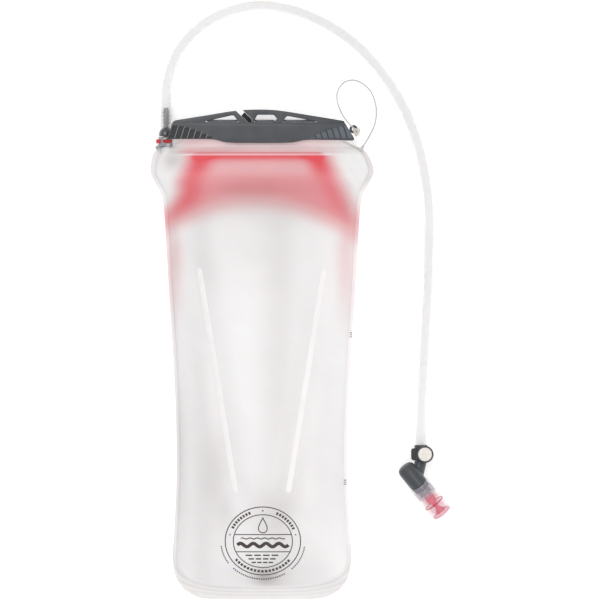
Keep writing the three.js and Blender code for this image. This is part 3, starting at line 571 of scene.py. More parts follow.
def section_at(y):
    """The cross-section at a height along the bag."""
    low, high = 0, len(ROWS) - 1
    while high - low > 1:
        middle = (low + high) // 2
        if ROWS[middle][0] > y:
            high = middle
        else:
            low = middle
    a, b = ROWS[low], ROWS[high]
    share = min(max((y - a[0]) / (b[0] - a[0]), 0.0), 1.0)
    return [mix(p, q, share) for p, q in zip(a, b)]


def rib_centre(y):
    return mix(RIB_LOW[0], RIB_HIGH[0], (y - RIB_LOW[1]) / (RIB_HIGH[1] - RIB_LOW[1]))


def rib_dip(x, y):
    """How far the ribs' welds pull the front film in."""
    low_fade = smoothstep(RIB_LOW[1] - 20, RIB_LOW[1] + 10, y)
    high_fade = 1 - smoothstep(RIB_HIGH[1] - 10, RIB_HIGH[1] + 20, y)
    return 4.5 * low_fade * high_fade * bump(abs(x), rib_centre(y), 11)


def fullness(across):
    """The share of a section's rise that the film reaches, from 1 at the middle to 0 at the welds."""
    inner = min(abs(across) / (1 - WELD_SHARE), 1)
    return (1 - inner ** 2.4) ** 0.8


def bottom_weld(x, y):
    """Millimetres into the bottom weld from its inner edge, negative inside the bag."""
    if y > BOTTOM_START:
        return -100
    out = abs(x / BOTTOM_HALF) ** BOTTOM_ROUNDING + abs((y - BOTTOM_START) / BOTTOM_DEPTH) ** BOTTOM_ROUNDING
    return (out ** (1 / BOTTOM_ROUNDING) - 1) * BOTTOM_DEPTH


def weld_ridges(x, y, half):
    """The pressed lines in the welds."""
    deep = bottom_weld(x, y)
    side = half - abs(x)
    low = 0.3 * bump(deep, 0.6, 0.6) + 0.34 * bump(deep, 3.7, 0.7) + 0.25 * bump(deep, 6.6, 0.7)
    edge = 0.2 * bump(side, 0.7, 0.35)
    return low + edge * (1 - smoothstep(190, 196, y))


def wrinkles(x, y, across):
    """Soft creases: pleats under the mouth, puckers along the side welds and slow dents in the panels."""
    neck = bump(y, 188, 5) * (1 - smoothstep(193, 196, y))
    pleats = 0.55 * neck * noise.noise(Vector((x / 5, y / 60, 3.1)))
    rim = smoothstep(0.62, 0.9, abs(across)) * (1 - smoothstep(0.93, 0.97, abs(across)))
    pucker = 0.8 * rim * noise.noise(Vector((x / 60, y / 7, 8.4)))
    shoulder = smoothstep(140, 165, y) * (1 - smoothstep(184, 194, y)) * smoothstep(0.5, 0.8, abs(across))
    fold = 0.5 * shoulder * noise.noise(Vector(((x + y * math.copysign(0.7, x)) / 6, y / 40, 1.7)))
    dents = 0.9 * fullness(across) * noise.noise(Vector((x / 45, y / 55, 5.2)))
    return (pleats + pucker + fold + dents * (1 - smoothstep(185, 196, y))) * (1 - smoothstep(194, 197, y))


def liner_ridge(x, y):
    """The raised line where the red inner sheet is welded to the front film."""
    ends = smoothstep(-64, -59, x) * (1 - smoothstep(54, 60, x))
    return 0.45 * ends * bump(y, 186.1, 0.55)


def spigot_bulge(x, y, z_edge):
    """How far the films stand out around the port's spigot."""
    off = min(abs(x - PORT_X) / SPIGOT_RADIUS, 1)
    reach = smoothstep(178, 186, y) * (1 - smoothstep(194, 196, y))
    return max(0.0, PORT_Z + math.sqrt(1 - off * off) * SPIGOT_RADIUS - z_edge - WELD_GAP - FILM) * reach


def film_point(side, across, row):
    """The outer face of a film at a place across one cross-section."""
    y, half, edge, front, back = row
    port_side = 3.2 * bump(y, 189, 9) * (1 - smoothstep(191, 194.5, y)) * smoothstep(0.6, 1, -across)
    x = across * half - port_side
    share = fullness(across)
    if side == "front":
        z = edge + WELD_GAP + FILM + front * share - rib_dip(x, y) * share
        z += weld_ridges(x, y, half) + wrinkles(x, y, across) + liner_ridge(x, y)
        z = max(z, edge + WELD_GAP + FILM + spigot_bulge(x, y, edge))
    else:
        z = edge - WELD_GAP - FILM - back * share
        z -= weld_ridges(x, y, half) + 0.6 * wrinkles(-x, y + 31, across)
        z = min(z, edge - WELD_GAP - FILM - spigot_bulge(x, y, 2 * PORT_Z - edge))
        z = max(z, 0.0)
    return Vector((x, y, z))


def front_height(x, y):
    """Height of the front film's outer face at a place on the bag."""
    row = section_at(y)
    return film_point("front", min(max(x / row[1], -1), 1), row).z


def red_tint(x, y):
    """How red the film looks, from the coloured sheet behind it: 0 none, 1 strongest."""
    left = -60.5 - 15.5 * (1 - smoothstep(126, 156, y)) + 8 * smoothstep(160, 183, y)
    right = min(46.7 + (183 - y) * 0.455, 71.5)
    across = smoothstep(left - 22, left, x) * (1 - smoothstep(right, right + 24, x))
    arc = 145.7 - 0.004 * (x + 6) ** 2
    light = bump(y, 174.5, 8) * smoothstep(-58, -40, x) * (1 - smoothstep(34, 52, x))
    panel = (0.54 - 0.16 * light) * smoothstep(arc - 16, arc + 13, y) * across
    lasting = smoothstep(122, 152, y)
    stripes = (0.25 + 0.2 * smoothstep(166, 182, y)) * bump(x, left, 11) * lasting
    stripes += (0.16 + 0.3 * smoothstep(164, 181, y)) * bump(x, right, 9) * lasting
    ends = smoothstep(-63, -56, x) * (1 - smoothstep(47, 58, x))
    top = 0.42 * bump(y, 184.2, 3) * ends
    under = 1 - smoothstep(184.8, 186, y)
    line = 0.85 * bump(y, 187.3, 0.6) * ends
    gap = 0.34 * bump(y, 186.1, 0.7) * ends
    left_more = 1 - 0.6 * smoothstep(-50, 10, x)
    neck = smoothstep(186, 187, y) * smoothstep(-80, -60, x) * (1 - smoothstep(40, 80, x))
    neck *= 0.16 + 0.26 * left_more * bump(y, 187.5, 3)
    fade = smoothstep(20, 100, y) * (1 - smoothstep(104, 126, y))
    tails = 0.17 * fade * (bump(x, -76, 8) + bump(x, 71.7, 8))
    return min(max((panel + top + stripes) * under, line, gap, neck) + tails, 1.0)


def painted_film_shade(x, y):
    """Painted shade: how much darker the film is painted than its clearest, for the shade of its hollows and
    layers, with darker bands along the shoulders' edges, over the neck and in the lines of the bottom weld.
    """
    low = 1 - smoothstep(120, 150, y)
    columns = 0.2 * bump(x, 16, 17) + 0.13 * bump(x, -52, 10)
    columns += 0.09 * bump(x, 46, 14) + 0.12 * bump(x, -76, 5)
    patches = 0.26 * bump(x, -38, 13) * bump(y, -85, 45) + 0.12 * bump(x, -30, 8) * bump(y, -125, 22)
    patches += 0.2 * bump(x, -69, 5) * bump(y, -75, 60) + 0.2 * bump(x, 8, 26) * bump(y, -122, 22)
    patches += 0.5 * bump(x, 1.7, 11) * bump(y, -179, 8) + 0.16 * bump(x, -4, 32) * bump(y, -176, 13)
    patches += 0.4 * bump(x, -77, 9) * bump(y, 181, 9) + 0.12 * bump(x, 74, 10) * bump(y, 146, 24)
    patches += 0.28 * bump(y, 141, 16) * bump(x, -5, 62) + 0.2 * bump(y, 158, 12) * bump(x, -5, 55)
    patches += 0.15 * bump(y, 106, 34) * bump(x, -18, 36)
    neck = 0.1 * smoothstep(186, 189, y)
    half = section_at(y)[1]
    band = (0.28 if x > 0 else 0.16) * smoothstep(half - 6.5, half - 3.5, abs(x)) * smoothstep(152, 166, y)
    deep = bottom_weld(x, y)
    weld = smoothstep(-0.5, 0.5, deep)
    lines = 0.1 + 0.16 * bump(deep, 2.2, 0.7) + 0.16 * bump(deep, 5.2, 0.7) + 0.1 * bump(deep, 8, 0.7)
    open_film = columns * low + patches + neck
    return min(mix(open_film, lines, weld) + band, 1.0)


def film_columns(count):
    """Places across the bag, closer together towards the welds."""
    inner = [(1 - WELD_SHARE) * math.sin((k / count - 0.5) * math.pi) for k in range(count + 1)]
    band = [1 - WELD_SHARE * (1 - k / 4) for k in range(1, 5)]
    return [-place for place in reversed(band)] + inner + band


def make_film(name, side, node, looks):
    """One film of the bag as a thin closed shell."""
    columns = film_columns(112)
    step = Vector((0, 0, -FILM if side == "front" else FILM))
    outer = [film_point(side, across, row) for row in ROWS for across in columns]
    inner = [point + step for point in outer]
    film = thin_shell(name, outer, inner, len(columns), 70)
    tint = film.data.attributes.new("tint", "FLOAT", "POINT")
    painted_shade = film.data.attributes.new("painted_shade", "FLOAT", "POINT")
    strength = 1.0 if side == "front" else 0.7
    tint.data.foreach_set("value", [red_tint(v.x, v.y) * strength for v in outer + inner])
    painted_shade.data.foreach_set("value", [painted_film_shade(v.x, v.y) for v in outer + inner])
    dress(film, looks["film"])
    declare(film, "frosted_film", "reservoir", node)


def make_rib(name, sign, node, looks):
    """A flat milky weld strip with round ends that lies on the front film."""
    steps, wide = 120, 8
    top, bottom = [], []
    for j in range(steps + 1):
        y = mix(RIB_LOW[1], RIB_HIGH[1], 0.5 - 0.5 * math.cos(math.pi * j / steps))
        near_end = min(y - RIB_LOW[1], RIB_HIGH[1] - y, RIB_WIDTH / 2)
        half = math.sqrt(max(near_end * (RIB_WIDTH - near_end), 0.01))
        for i in range(wide + 1):
            off = 2 * i / wide - 1
            x = sign * rib_centre(y) + off * half
            z = front_height(x, y)
            top.append((x, y, z + 0.15 + 0.4 * (1 - off ** 4)))
            bottom.append((x, y, z - 0.25))
    rib = thin_shell(name, top, bottom, wide + 1, 50)
    dress(rib, looks["weld"])
    declare(rib, "white_weld", "reservoir", node)
    return rib


# ---- print on the film ---------------------------------------------------------------------------

SEAL = (0.9, -147.0)
LEVEL_MARKS = ((77.0, 30.5), (71.9, -96.8))


def ribbon(points, width, closed):
    """Vertices and faces of a thin printed line that lies on the front film."""
    verts, faces = [], []
    count = len(points)
    for k, (x, y) in enumerate(points):
        before = points[(k - 1) % count] if closed or k > 0 else points[k]
        after = points[(k + 1) % count] if closed or k < count - 1 else points[k]
        dx, dy = after[0] - before[0], after[1] - before[1]
        size = math.hypot(dx, dy)
        nx, ny = -dy / size * width / 2, dx / size * width / 2
        for sx, lift in ((1, 0.09), (-1, 0.09), (-1, -0.1), (1, -0.1)):
            px, py = x + sx * nx, y + sx * ny
            verts.append((px, py, front_height(px, py) + lift))
    for k in range(count if closed else count - 1):
        a, b = 4 * k, 4 * ((k + 1) % count)
        for s in range(4):
            t = (s + 1) % 4
            faces.append((a + s, a + t, b + t, b + s))
    if not closed:
        end = 4 * (count - 1)
        faces.append((3, 2, 1, 0))
        faces.append((end, end + 1, end + 2, end + 3))
    return verts, faces


def ellipse(rx, ry, start=0.0, end=TAU, steps=96):
    turns = [mix(start, end, k / steps) for k in range(steps + 1)]
    return [(SEAL[0] + rx * math.cos(turn), SEAL[1] + ry * math.sin(turn)) for turn in turns]


def level_line(x0, x1, y, steps):
    return [(mix(x0, x1, k / steps), y) for k in range(steps + 1)]


def drop_outline():
    """A plain water drop in the top field of the seal."""
    points = []
    for k in range(40):
        turn = TAU * k / 40
        lean = math.sin(turn / 2) ** 1.6
        points.append((SEAL[0] + 5.4 * math.sin(turn) * lean, SEAL[1] + 14.2 + 6.6 * math.cos(turn)))
    return points


def wave_line(half, y, height, waves):
    """A level row of waves about the middle of the seal."""
    places = [2 * k / 60 - 1 for k in range(61)]
    return [(SEAL[0] + half * place, y + height * math.sin(math.pi * waves * place)) for place in places]


def dashes(radii, start, end, count, gap, width):
    """Short printed strokes in a row round an ellipse."""
    step = (end - start) / count
    starts = [start + k * step for k in range(count)]
    return [(ellipse(*radii, turn, turn + (1 - gap) * step, 3), width, False) for turn in starts]


def seal_lines():
    """Every printed line of the seal: points, width and whether it closes."""
    outer, inner, text, foot = (32.4, 30), (25.4, 23.3), (28.9, 26.7), (36.2, 33.8)
    lines = [(ellipse(*outer)[:-1], 0.8, True), (ellipse(*inner)[:-1], 0.75, True)]
    for y in (-141.0, -156.2):
        half = inner[0] * math.sqrt(1 - ((y - SEAL[1]) / inner[1]) ** 2)
        lines.append((level_line(SEAL[0] - half, SEAL[0] + half, y, 36), 0.75, False))
    lines.append((drop_outline(), 0.8, True))
    lines.append((wave_line(22, -150.2, 1.5, 4), 3.0, False))
    lines.append((wave_line(19, -144.4, 0.5, 6), 0.9, False))
    for k in range(3):
        half = 15 - 2.6 * k
        y = -159.3 - 3.2 * k
        for part in range(4):
            low = SEAL[0] - half + part * half / 2
            lines.append((level_line(low, low + 0.38 * half, y, 4), 1.2, False))
    lines += dashes(text, 0.62 * math.pi, 0.87 * math.pi, 8, 0.36, 2.4)
    lines += dashes(text, 0.13 * math.pi, 0.38 * math.pi, 8, 0.36, 2.4)
    lines += dashes(text, 1.2 * math.pi, 1.8 * math.pi, 17, 0.34, 2.2)
    for first, last, count in ((1.04, 1.2, 9), (1.25, 1.68, 24), (1.74, 1.96, 12)):
        lines += dashes(foot, first * math.pi, last * math.pi, count, 0.4, 1.1)
    for turn in (0.5, 0.93, 0.07):
        lines.append((ellipse(*text, turn * math.pi - 0.02, turn * math.pi + 0.02, 2), 1.1, False))
    return lines


def make_print(looks):
    """The seal and the level marks, printed on the front film in one colour."""
    lines = seal_lines()
    for x, y in LEVEL_MARKS:
        for left, right, up in ((-1.2, 1, 1.7), (-0.9, 0.8, 0), (-1.2, 1, -1.7)):
            lines.append((level_line(x + left, x + right, y + up, 3), 0.6, False))
    verts, faces = [], []
    for points, width, closed in lines:
        more, quads = ribbon(points, width, closed)
        faces += [tuple(len(verts) + k for k in quad) for quad in quads]
        verts += more
    print_mark = make_object("printed_seal", verts, faces, 30)
    dress(print_mark, looks["ink"])
    declare(print_mark, "black_rubber", "reservoir")
    return print_mark


# ---- closure bar ---------------------------------------------------------------------------------

NECK_Z = 20.0
BODY_HALF = 5.2
HANDLE_HALF = 3.3
BODY_TOP = 213.0
HOOK_HALF = 2.3


def smooth_line(points, steps):
    vectors = [Vector((x, y, 0)) for x, y in points]
    spans = len(points) - 1
    return [tuple(spline_point(vectors, k / (steps * spans)).xy) for k in range(steps * spans + 1)]


def top_line():
    return smooth_line([(-73.5, 215.6), (-48, 219.6), (-23.3, 223.5), (-6.5, 224.6), (12.5, 224), (36, 220.5),
                        (70.4, 214.9)], 5)


def handle_outline():
    """The whole bar seen from the front, run clockwise from the lower left corner."""
    outline = [(-81.6, 199.2), (-77.4, 212.6)]
    outline += bezier((-77.4, 212.6), (-76.4, 215), (-73.5, 215.6))
    outline += top_line()[1:]
    outline += [(79.4, 200)]
    outline += bezier((79.4, 200), (79.8, 198), (77.8, 198))
    outline += [(42, 198.6)]
    outline += smooth_line([(42, 198.6), (36, 198.2), (31, 197.2), (26, 196.3), (16, 195.8)], 3)[1:]
    outline += [(-22, 195.8)]
    outline += smooth_line([(-22, 195.8), (-31, 196.4), (-36, 197.6), (-41, 198.8), (-47, 199.2)], 3)[1:]
    return outline


def window_outlines():
    left = [(-49, 214.7), (-26, 219.7)] + bezier((-26, 219.7), (-24.2, 219.9), (-23.4, 218.4), 4)
    left += [(-20.4, 214.6)] + bezier((-20.4, 214.6), (-20.2, 213.9), (-21, 213.8), 3) + [(-48, 213.8)]
    middle = [(-7, 213.8), (-4.6, 219.2)]
    middle += bezier((-4.6, 219.2), (-4, 220.2), (-2.8, 220.2), 4) + [(9, 220.2)]
    middle += bezier((9, 220.2), (10.4, 220.2), (11, 219.2), 4) + [(13, 216.6), (9.6, 213.8)]
    right = [(17.8, 213.8), (20.8, 218.4)] + bezier((20.8, 218.4), (21.6, 219.2), (23, 219), 4)
    right += [(47.5, 214.5), (46.5, 213.8)]
    return [left, middle, right]


GRIP_FOOT = 199.9
GRIP_TALL = 10.9
GRIP_PITCH = 5.4
GRIP_WIDTH = 4.5
GRIP_LEAN = 0.32
GRIP_START = {1: 78.6, -1: 80.2}
GRIPS = 7


def grip_corners(end_sign, place, low, high):
    """A slanted strip of the grip at one end of the bar, from low to high within its pocket's pitch."""
    tall = GRIP_TALL * (1 - (place / 6.6) ** 1.5)
    start = place * GRIP_PITCH - GRIP_START[end_sign]
    low, high, lean = start + low, start + high, GRIP_LEAN * tall
    top = GRIP_FOOT + tall
    corners = [(low, GRIP_FOOT), (high, GRIP_FOOT), (high + lean, top), (low + lean, top)]
    return [(-end_sign * x, y) for x, y in corners]


def grip_cutters(end_sign, face_sign, material):
    """Slanted pockets at one end of one face, shorter towards the middle, as one cutter."""
    face = NECK_Z + face_sign * BODY_HALF
    cutters = []
    for k in range(GRIPS):
        pocket = prism("pocket", grip_corners(end_sign, k, 0, GRIP_WIDTH), face - 0.75, face + 2)
        cutters.append(dress(pocket, material))
    return join("pockets", cutters)


def make_grip_ribs(looks):
    """The crests of the thin ribs between the grip's pockets on the front face: a painted highlight on those
    at the left end, painted shade on those at the right end.
    """
    crests = []
    for end_sign, tone in ((-1, "rib_highlight"), (1, "pocket")):
        for k in range(GRIPS - 1):
            strip = grip_corners(end_sign, k, GRIP_WIDTH + 0.15, GRIP_PITCH - 0.15)
            crest = prism("crest", strip, NECK_Z + BODY_HALF - 0.6, NECK_Z + BODY_HALF + 0.08)
            crests.append(dress(crest, looks[tone]))
    ribs = join("grip_ribs", crests)
    soften(ribs)
    declare(ribs, "slate_plastic", "closure")


def make_bar(looks):
    """The slide bar: a thick grip body, a thin handle with windows and a hook slot, and a channel."""
    outline = handle_outline()
    windows = window_outlines()
    handle = prism("closure_bar_body", outline, NECK_Z - HANDLE_HALF, NECK_Z + HANDLE_HALF, windows)
    slot_start, slot_end = Vector((-22.4, 226.6)), Vector((-10.6, 215.4))
    run = (slot_end - slot_start).normalized()
    side = Vector((-run.y, run.x)) * HOOK_HALF
    ring = [slot_start + side, slot_end + side]
    turns = [math.pi * k / 8 for k in range(1, 8)]
    ring += [slot_end + side * math.cos(turn) + run * HOOK_HALF * math.sin(turn) for turn in turns]
    ring += [slot_end - side, slot_start - side]
    hook = prism("hook_cut", [tuple(p) for p in ring], NECK_Z - 9, NECK_Z + 9)
    boolean(handle, hook, "DIFFERENCE")
    rounded(handle, 0.7, 3, 40)
    below = [(x, y) for x, y in outline if y < BODY_TOP]
    left_cut, right_cut = -77.2, 71.6
    order = [(left_cut, BODY_TOP), (right_cut, BODY_TOP), *below[2:], *below[:2]]
    body = prism("body", order, NECK_Z - BODY_HALF, NECK_Z + BODY_HALF)
    rounded(body, 1.0, 4, 40)
    dress(handle, looks["slate"])
    boolean(handle, dress(body, looks["slate"]), "UNION")
    channel = [(1.35, 203.5), (1.35, 201.8), (4.2, 194), (-4.2, 194), (-1.35, 201.8), (-1.35, 203.5),
               (-3.7, 203.5), (-3.7, 211.3), (3.7, 211.3), (3.7, 203.5)]
    cutter = prism("channel", [(NECK_Z + z, y) for z, y in channel], -100, 73)
    swap_x_and_z = Matrix(((0, 0, 1, 0), (0, 1, 0, 0), (1, 0, 0, 0), (0, 0, 0, 1)))
    cutter.data.transform(swap_x_and_z)
    outward(cutter)
    # The channel is lined with the dark slate: painted shade inside it.
    boolean(handle, dress(cutter, looks["pocket"]), "DIFFERENCE")
    back = box("back_cut", (-50, 190, NECK_Z - 10), (44, 199, NECK_Z))
    boolean(handle, dress(back, looks["slate"]), "DIFFERENCE")
    for end, face in ((1, 1), (-1, 1), (1, -1), (-1, -1)):
        # The right-hand pockets of the front face get a painted highlight; all other pockets are painted dark
        # for their shade.
        tone = "pocket_highlight" if (end, face) == (1, 1) else "pocket"
        boolean(handle, grip_cutters(end, face, looks[tone]), "DIFFERENCE")
    eyelet_section = [(1.5, -1.6), (3.6, -1.6), (3.6, 1.6), (1.5, 1.6)]
    eyelet = turned("eyelet", eyelet_section, along((79, 207.8, NECK_Z), (0, 0, 1)), 40)
    dress(rounded(eyelet, 0.4), looks["slate"])
    whole = join("closure_bar_body", [handle, eyelet])
    soften(whole, 32)
    declare(whole, "slate_plastic", "closure", "closure_bar")


def make_sills(looks):
    """The ledges in the lower, rear part of the windows, in a paler slate that is a painted highlight for the
    light they catch.
    """
    sills = []
    for x_low, x_high in ((-47.4, -20.9), (-6.4, 10.6), (18.4, 46.4)):
        sill = box("sill", (x_low, 214.15, NECK_Z - 3.1), (x_high, 216.0, NECK_Z + 0.6))
        sills.append(dress(rounded(sill, 0.5), looks["sill"]))
    ledge = join("window_sills", sills)
    soften(ledge)
    declare(ledge, "slate_plastic", "closure")


# ---- port, plug and valve ------------------------------------------------------------------------

HUB = (140.7, -72.7)
LINE_Z = 8.0
MOUTH_TIP = (122.7, -83.0, 17.1)
MOUTH_DIRECTION = (0.631, -0.776, -0.15)


def turned_piece(name, node, profile, place, material, slot, body, edge, sides=64):
    """A lathed piece with rounded edges that stands for one CAD node."""
    piece = turned(name, profile, place, sides)
    rounded(piece, edge, 2, 25)
    soften(piece, 30)
    dress(piece, material)
    declare(piece, slot, body, node)
    return piece


def make_plug(looks):
    port = Matrix.Translation(Vector((PORT_X, 0, PORT_Z)))
    dome = [(2.75, 202), (6, 202), (6.2, 202.6), (6.2, 204.2), (6.05, 205.2), (5.6, 206.4), (4.7, 207.9),
            (3.8, 208.8), (3.3, 209.3), (2.75, 209.3)]
    turned_piece("plug_dome", "plug_cap", dome, port, looks["grey"], "grey_plastic", "drinking_line", 0.15)
    barbs = []
    for k in range(4):
        y = 212.6 + 3.1 * k
        barbs += [(2.2, y), (3.2, y), (2.2, y + 2.4)]
    stem = [(1.6, 193.4), (2.9, 193.4), (3.3, 193.9), (3.3, 194.3), (2.7, 194.3), (2.7, 195.5), (3.3, 195.5),
            (3.3, 201.7), (2.2, 201.7), *barbs, (2.2, 225.5), (2.0, 226.7), (1.6, 226.7)]
    turned_piece("plug_stem", "plug_body", stem, port, looks["slate"], "slate_plastic", "drinking_line",
                 0.08, 40)


def make_port_shell(looks):
    """The clear housing around the latch: open at both sides, with an oval window in its front."""
    port = Matrix.Translation(Vector((PORT_X, 0, PORT_Z)))
    section = [(6.3, 193.4), (6.7, 193.4), (7.1, 194.6), (7.2, 196), (7.2, 199.6), (7.0, 200.7),
               (6.5, 201.4), (6.3, 201.4)]
    shell = turned("port_shell", section, port, 64)
    for low, high in ((-12, -6.2), (4.4, 12)):
        cut = box("cut", (PORT_X + low, 195.4, PORT_Z - 5), (PORT_X + high, 199.6, PORT_Z + 5))
        boolean(shell, cut, "DIFFERENCE")
    window = turned("window", [(0, 3), (1, 3), (1, 9), (0, 9)], Matrix.Identity(4), 40)
    window.data.transform(Matrix.Translation(Vector((PORT_X + 1.2, 197.6, PORT_Z)) * MM)
                          @ Matrix.Diagonal((3.9, 1.75, 1, 1)) @ Matrix.Rotation(math.pi / 2, 4, "X"))
    outward(window)
    boolean(shell, window, "DIFFERENCE")
    rounded(shell, 0.2, 2, 40)
    soften(shell, 35)
    dress(shell, looks["port"])
    declare(shell, "port_plastic", "reservoir")


def make_housing(looks):
    """The elbow and hub of the shut-off valve, moulded in one piece with soft inner corners."""
    mouth = along(MOUTH_TIP, MOUTH_DIRECTION)
    hub = along((*HUB, 0), (0, 0, 1))
    elbow = [(0, -0.8), (4.2, -0.6), (6.2, 0.3), (7.4, 1.9), (7.9, 4.2), (7.9, 20.4), (7.2, 20.4),
             (7.2, 25.4), (5.2, 25.2), (5.2, 31), (0, 31)]
    drum = [(0, 1.4), (6.4, 1.4), (6.9, 1.9), (6.9, 12.9), (6.5, 13.4), (0, 13.4)]
    socket = [(0, 0), (5.7, 0), (5.7, 13.1), (0, 13.1)]
    neck = [(0, 0), (5.2, 0), (5.2, 21.8), (0, 21.8)]
    parts = [
        turned("elbow", elbow, mouth, 64),
        turned("drum", drum, hub, 64),
        turned("socket", socket, along((137.4, -64.9, LINE_Z), (0, -1, 0)), 48),
        turned("neck", neck, along((138.2, -75, 7.2), (-5, -20.5, 6)), 48),
    ]
    housing = join("valve_shell", parts)
    remesh = housing.modifiers.new("one_body", "REMESH")
    remesh.mode = "VOXEL"
    remesh.voxel_size = 0.36 * MM
    relax = housing.modifiers.new("soft_corners", "SMOOTH")
    relax.factor = 0.5
    relax.iterations = 5
    apply_modifiers(housing)
    soften(housing, 60)
    dress(housing, looks["slate"])
    declare(housing, "slate_plastic", "drinking_line", "valve_housing")
    return housing


def make_knob(looks):
    """The shut-off: a grey ring with a lever tab round a cream disc."""
    hub = along((*HUB, 0), (0, 0, 1))
    section = [(1.7, 14), (7.1, 14), (7.4, 14.4), (7.4, 17.7), (7.0, 18.2), (6.25, 18.2), (6.2, 17.2),
               (1.7, 17.2)]
    ring = turned("ring", section, hub, 72)
    tab_outline = [(-6, -5.2), (-10.2, -5.2)] + bezier((-10.2, -5.2), (-12, -4.6), (-12, -3)) + [(-12, 3)]
    tab_outline += bezier((-12, 3), (-12, 5), (-10.2, 5.2)) + [(-6, 5.2)]
    tab = prism("tab", [(HUB[0] + x, HUB[1] + y) for x, y in tab_outline], 15.6, 17.4)
    dress(rounded(ring, 0.2, 2, 25), looks["slate"])
    dress(rounded(tab, 0.4, 2, 25), looks["pocket"])
    knob = join("knob_shell", [ring, tab])
    soften(knob, 30)
    declare(knob, "slate_plastic", "shutoff", "shutoff_knob")
    disc = [(0, 17.5), (5.9, 17.5), (5.9, 18.45), (5.5, 18.65), (0, 18.8)]
    face = turned_piece("knob_face", "knob_disc", disc, hub, looks["cream"], "cream_plastic", "shutoff",
                        0.15, 72)
    return [knob, face]


def make_mouthpiece(looks):
    """The twist-lock collar and the bite valve on the elbow's axis."""
    mouth = along(MOUTH_TIP, MOUTH_DIRECTION)
    collar = [(7.65, 21), (9.1, 21), (9.4, 21.4)]
    for k in range(3):
        start = 23.2 + 3.2 * k
        collar += [(9.4, start), (9.15, start + 0.4), (9.15, start + 0.9), (9.4, start + 1.3)]
    collar += [(9.4, 32.6), (9.1, 33), (8.35, 33), (8.35, 25.6), (7.65, 25.6)]
    sleeve = [(5.55, 25.9), (8, 25.9), (8, 34), (8.2, 36), (8.55, 38.4), (8.95, 40.2), (8.9, 40.4),
              (8.35, 40.5), (8.35, 42.8), (9.05, 42.9), (9.1, 43.3), (9, 45), (8.88, 47), (8.8, 51.1),
              (8.05, 51.1), (8, 53), (7.6, 53.5), (7, 53.6), (0, 53.2), (0, 51.8), (6.4, 51.8), (6.4, 31.6),
              (5.55, 31.6)]
    band = [(8.5, 41.2), (9.4, 41.2), (9.4, 42.2), (8.5, 42.2)]
    lip = [(8.0, 51.2), (8.85, 51.2), (8.85, 53.4), (8.0, 53.4)]
    core = [(1, 31.6), (3.4, 31.6), (3.9, 33), (4.4, 35), (4.45, 37.4), (4.2, 39.4), (3.4, 40.8),
            (2.5, 41.9), (2.1, 43.4), (2, 45), (2.2, 46.4), (2.9, 47.8), (4.1, 48.8), (4.6, 49.5),
            (4.6, 51.2), (1, 51.2)]
    pieces = (
        ("collar_shell", "lock_collar", collar, "collar", "clear_plastic", 0.12, 64),
        ("sleeve_shell", "bite_sleeve", sleeve, "silicone", "clear_silicone", 0.12, 64),
        ("sleeve_band", "bite_ring", band, "pale_pink", "pink_silicone", 0.3, 64),
        ("sleeve_lip", "bite_rim", lip, "blush", "pink_silicone", 0.3, 64),
        ("core_shell", "bite_core", core, "pink", "pink_silicone", 0.12, 48),
    )
    return [turned_piece(name, node, section, mouth, looks[look], slot, "mouthpiece", edge, sides)
            for name, node, section, look, slot, edge, sides in pieces]


# ---- pieces kept from the frame ------------------------------------------------------------------

KEPT = {
    "baffle_web_left": ("film", 0), "baffle_web_right": ("film", 0), "inner_liner": ("liner", 0),
    "mouth_rail_front": ("weld", 0.4), "mouth_rail_back": ("weld", 0.4), "hook_pad": ("rubber", 0.25),
    "tether_knot": ("cord", 0), "port_body": ("port", 0.2),
    "release_latch": ("red", 0.45), "plug_seal": ("rubber", 0), "check_valve_poppet": ("cream", 0.1),
    "check_valve_spring": ("steel", 0), "shutoff_rotor": ("cream", 0.2), "shutoff_seal": ("rubber", 0),
    "knob_screw": ("steel", 0.2),
}


def dress_frame(looks):
    for node, (material, edge) in KEPT.items():
        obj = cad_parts[node]
        dress(obj, looks[material])
        soften(obj, 40)
        if edge:
            bevel(obj, edge, 2, 35)


def make_knot(looks):
    """A small overhand knot in the tether: a trefoil of the cord, pulled tight, with its cut end."""
    centre = Vector((81.6, 205.6, 24.0))
    route = []
    for k in range(97):
        t = TAU * k / 96
        across, up = math.sin(t) + 2 * math.sin(2 * t), math.cos(t) - 2 * math.cos(2 * t)
        route.append(centre + Vector((0.95 * across, 1.15 * up, -1.08 * math.sin(3 * t))))
    knot = tube("tether_tie", route, 0.75, 0, TETHER_SIDES)
    end = [centre + Vector(offset) for offset in ((0.4, 0, 0.3), (1.6, -1.4, 0.5), (2.2, -3.2, 0.2))]
    tail = tube("tail", smooth_route(end, 10), 0.6, 0, TETHER_SIDES)
    whole = join("tether_tie", [knot, tail])
    soften(whole, 60)
    dress(whole, looks["knot"])
    declare(whole, "clear_cord", "closure", "tether_knot")
    return whole


def make_tether_tab(looks):
    """The tab that welds the tether's end to the right shoulder: wide on the film, narrow under the cord."""
    wide, narrow = Vector((85.4, 190.6)), Vector((87.5, 193.6))
    lean = math.atan2(narrow.y - wide.y, narrow.x - wide.x)
    outline = []
    for centre, radius, start in ((wide, 1.8, lean + math.pi / 2), (narrow, 1.1, lean - math.pi / 2)):
        for k in range(13):
            turn = start + math.pi * k / 12
            outline.append((centre.x + radius * math.cos(turn), centre.y + radius * math.sin(turn)))
    base = front_height(*wide)
    tab = rounded(prism("tether_tab", outline, base + 0.1, base + 1.2), 0.3)
    soften(tab, 40)
    dress(tab, looks["cord"])
    declare(tab, "clear_cord", "reservoir", "tether_anchor")


# ---- stage ---------------------------------------------------------------------------------------


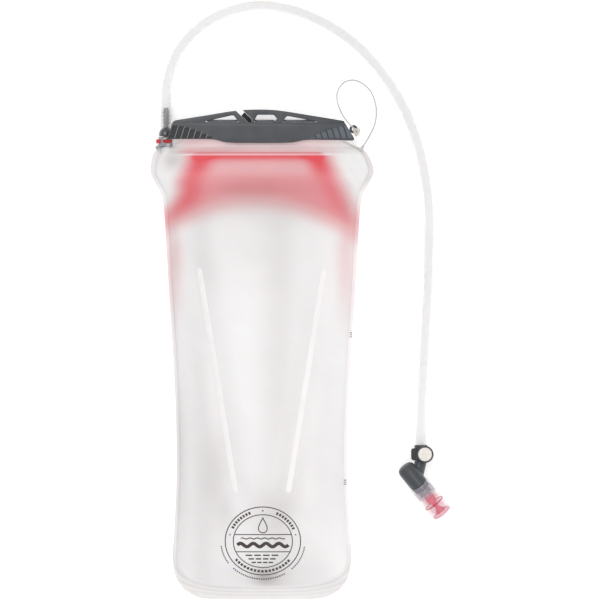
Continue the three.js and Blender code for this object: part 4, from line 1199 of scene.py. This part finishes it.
FLOOR_HALF = 6000
LIGHT_SIZE = 1.4
LIGHT_POWER = 16.5


def area_light(name, place):
    """A round soft light, in metres and watts, that points at the frame's origin."""
    data = bpy.data.lights.new(name, "AREA")
    data.shape = "DISK"
    data.size = LIGHT_SIZE
    data.energy = LIGHT_POWER
    light = bpy.data.objects.new(name, data)
    light.location = place
    light.rotation_euler = (-Vector(place)).to_track_quat("-Z", "Y").to_euler()
    bpy.context.scene.collection.objects.link(light)


def make_stage():
    scene = bpy.context.scene
    scene.view_settings.view_transform = "Standard"
    scene.view_settings.look = "None"
    world = bpy.data.worlds.new("studio")
    world.use_nodes = True
    background = world.node_tree.nodes["Background"]
    background.inputs["Color"].default_value = (1, 1, 1, 1)
    background.inputs["Strength"].default_value = 0.6
    scene.world = world
    area_light("key", (-0.7, 0.9, 2.0))
    area_light("fill", (1.2, -0.9, 1.8))
    corners = [(x * FLOOR_HALF, y * FLOOR_HALF, -0.05) for x, y in ((-1, -1), (1, -1), (1, 1), (-1, 1))]
    floor = make_object("floor", corners, [(0, 1, 2, 3)])
    looks = Looks("floor", Roughness=0.85, Emission_Color=(1, 1, 1, 1), Emission_Strength=0.35)
    looks.colour(looks.ramp(looks.noise(2, 2), [(0.4, (0.93, 0.93, 0.93, 1)), (0.6, (0.95, 0.95, 0.95, 1))]))
    dress(floor, looks.material)


def main():
    add_camera()
    looks = make_materials()
    dress_frame(looks)
    knot = make_knot(looks)
    riders = [make_housing(looks), *make_knob(looks), *make_mouthpiece(looks)]
    riders += [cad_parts[name] for name in ("shutoff_rotor", "shutoff_seal", "knob_screw")]
    make_tube(looks)
    make_tether(looks)
    make_tether_tab(looks)
    on_front = [
        make_rib("rib_left", -1, "weld_rib_left", looks),
        make_rib("rib_right", 1, "weld_rib_right", looks),
        make_print(looks),
    ]
    make_film("front_panel", "front", "front_film", looks)
    make_film("back_panel", "back", "back_film", looks)
    make_bar(looks)
    make_sills(looks)
    make_grip_ribs(looks)
    make_plug(looks)
    make_port_shell(looks)
    make_stage()


main()
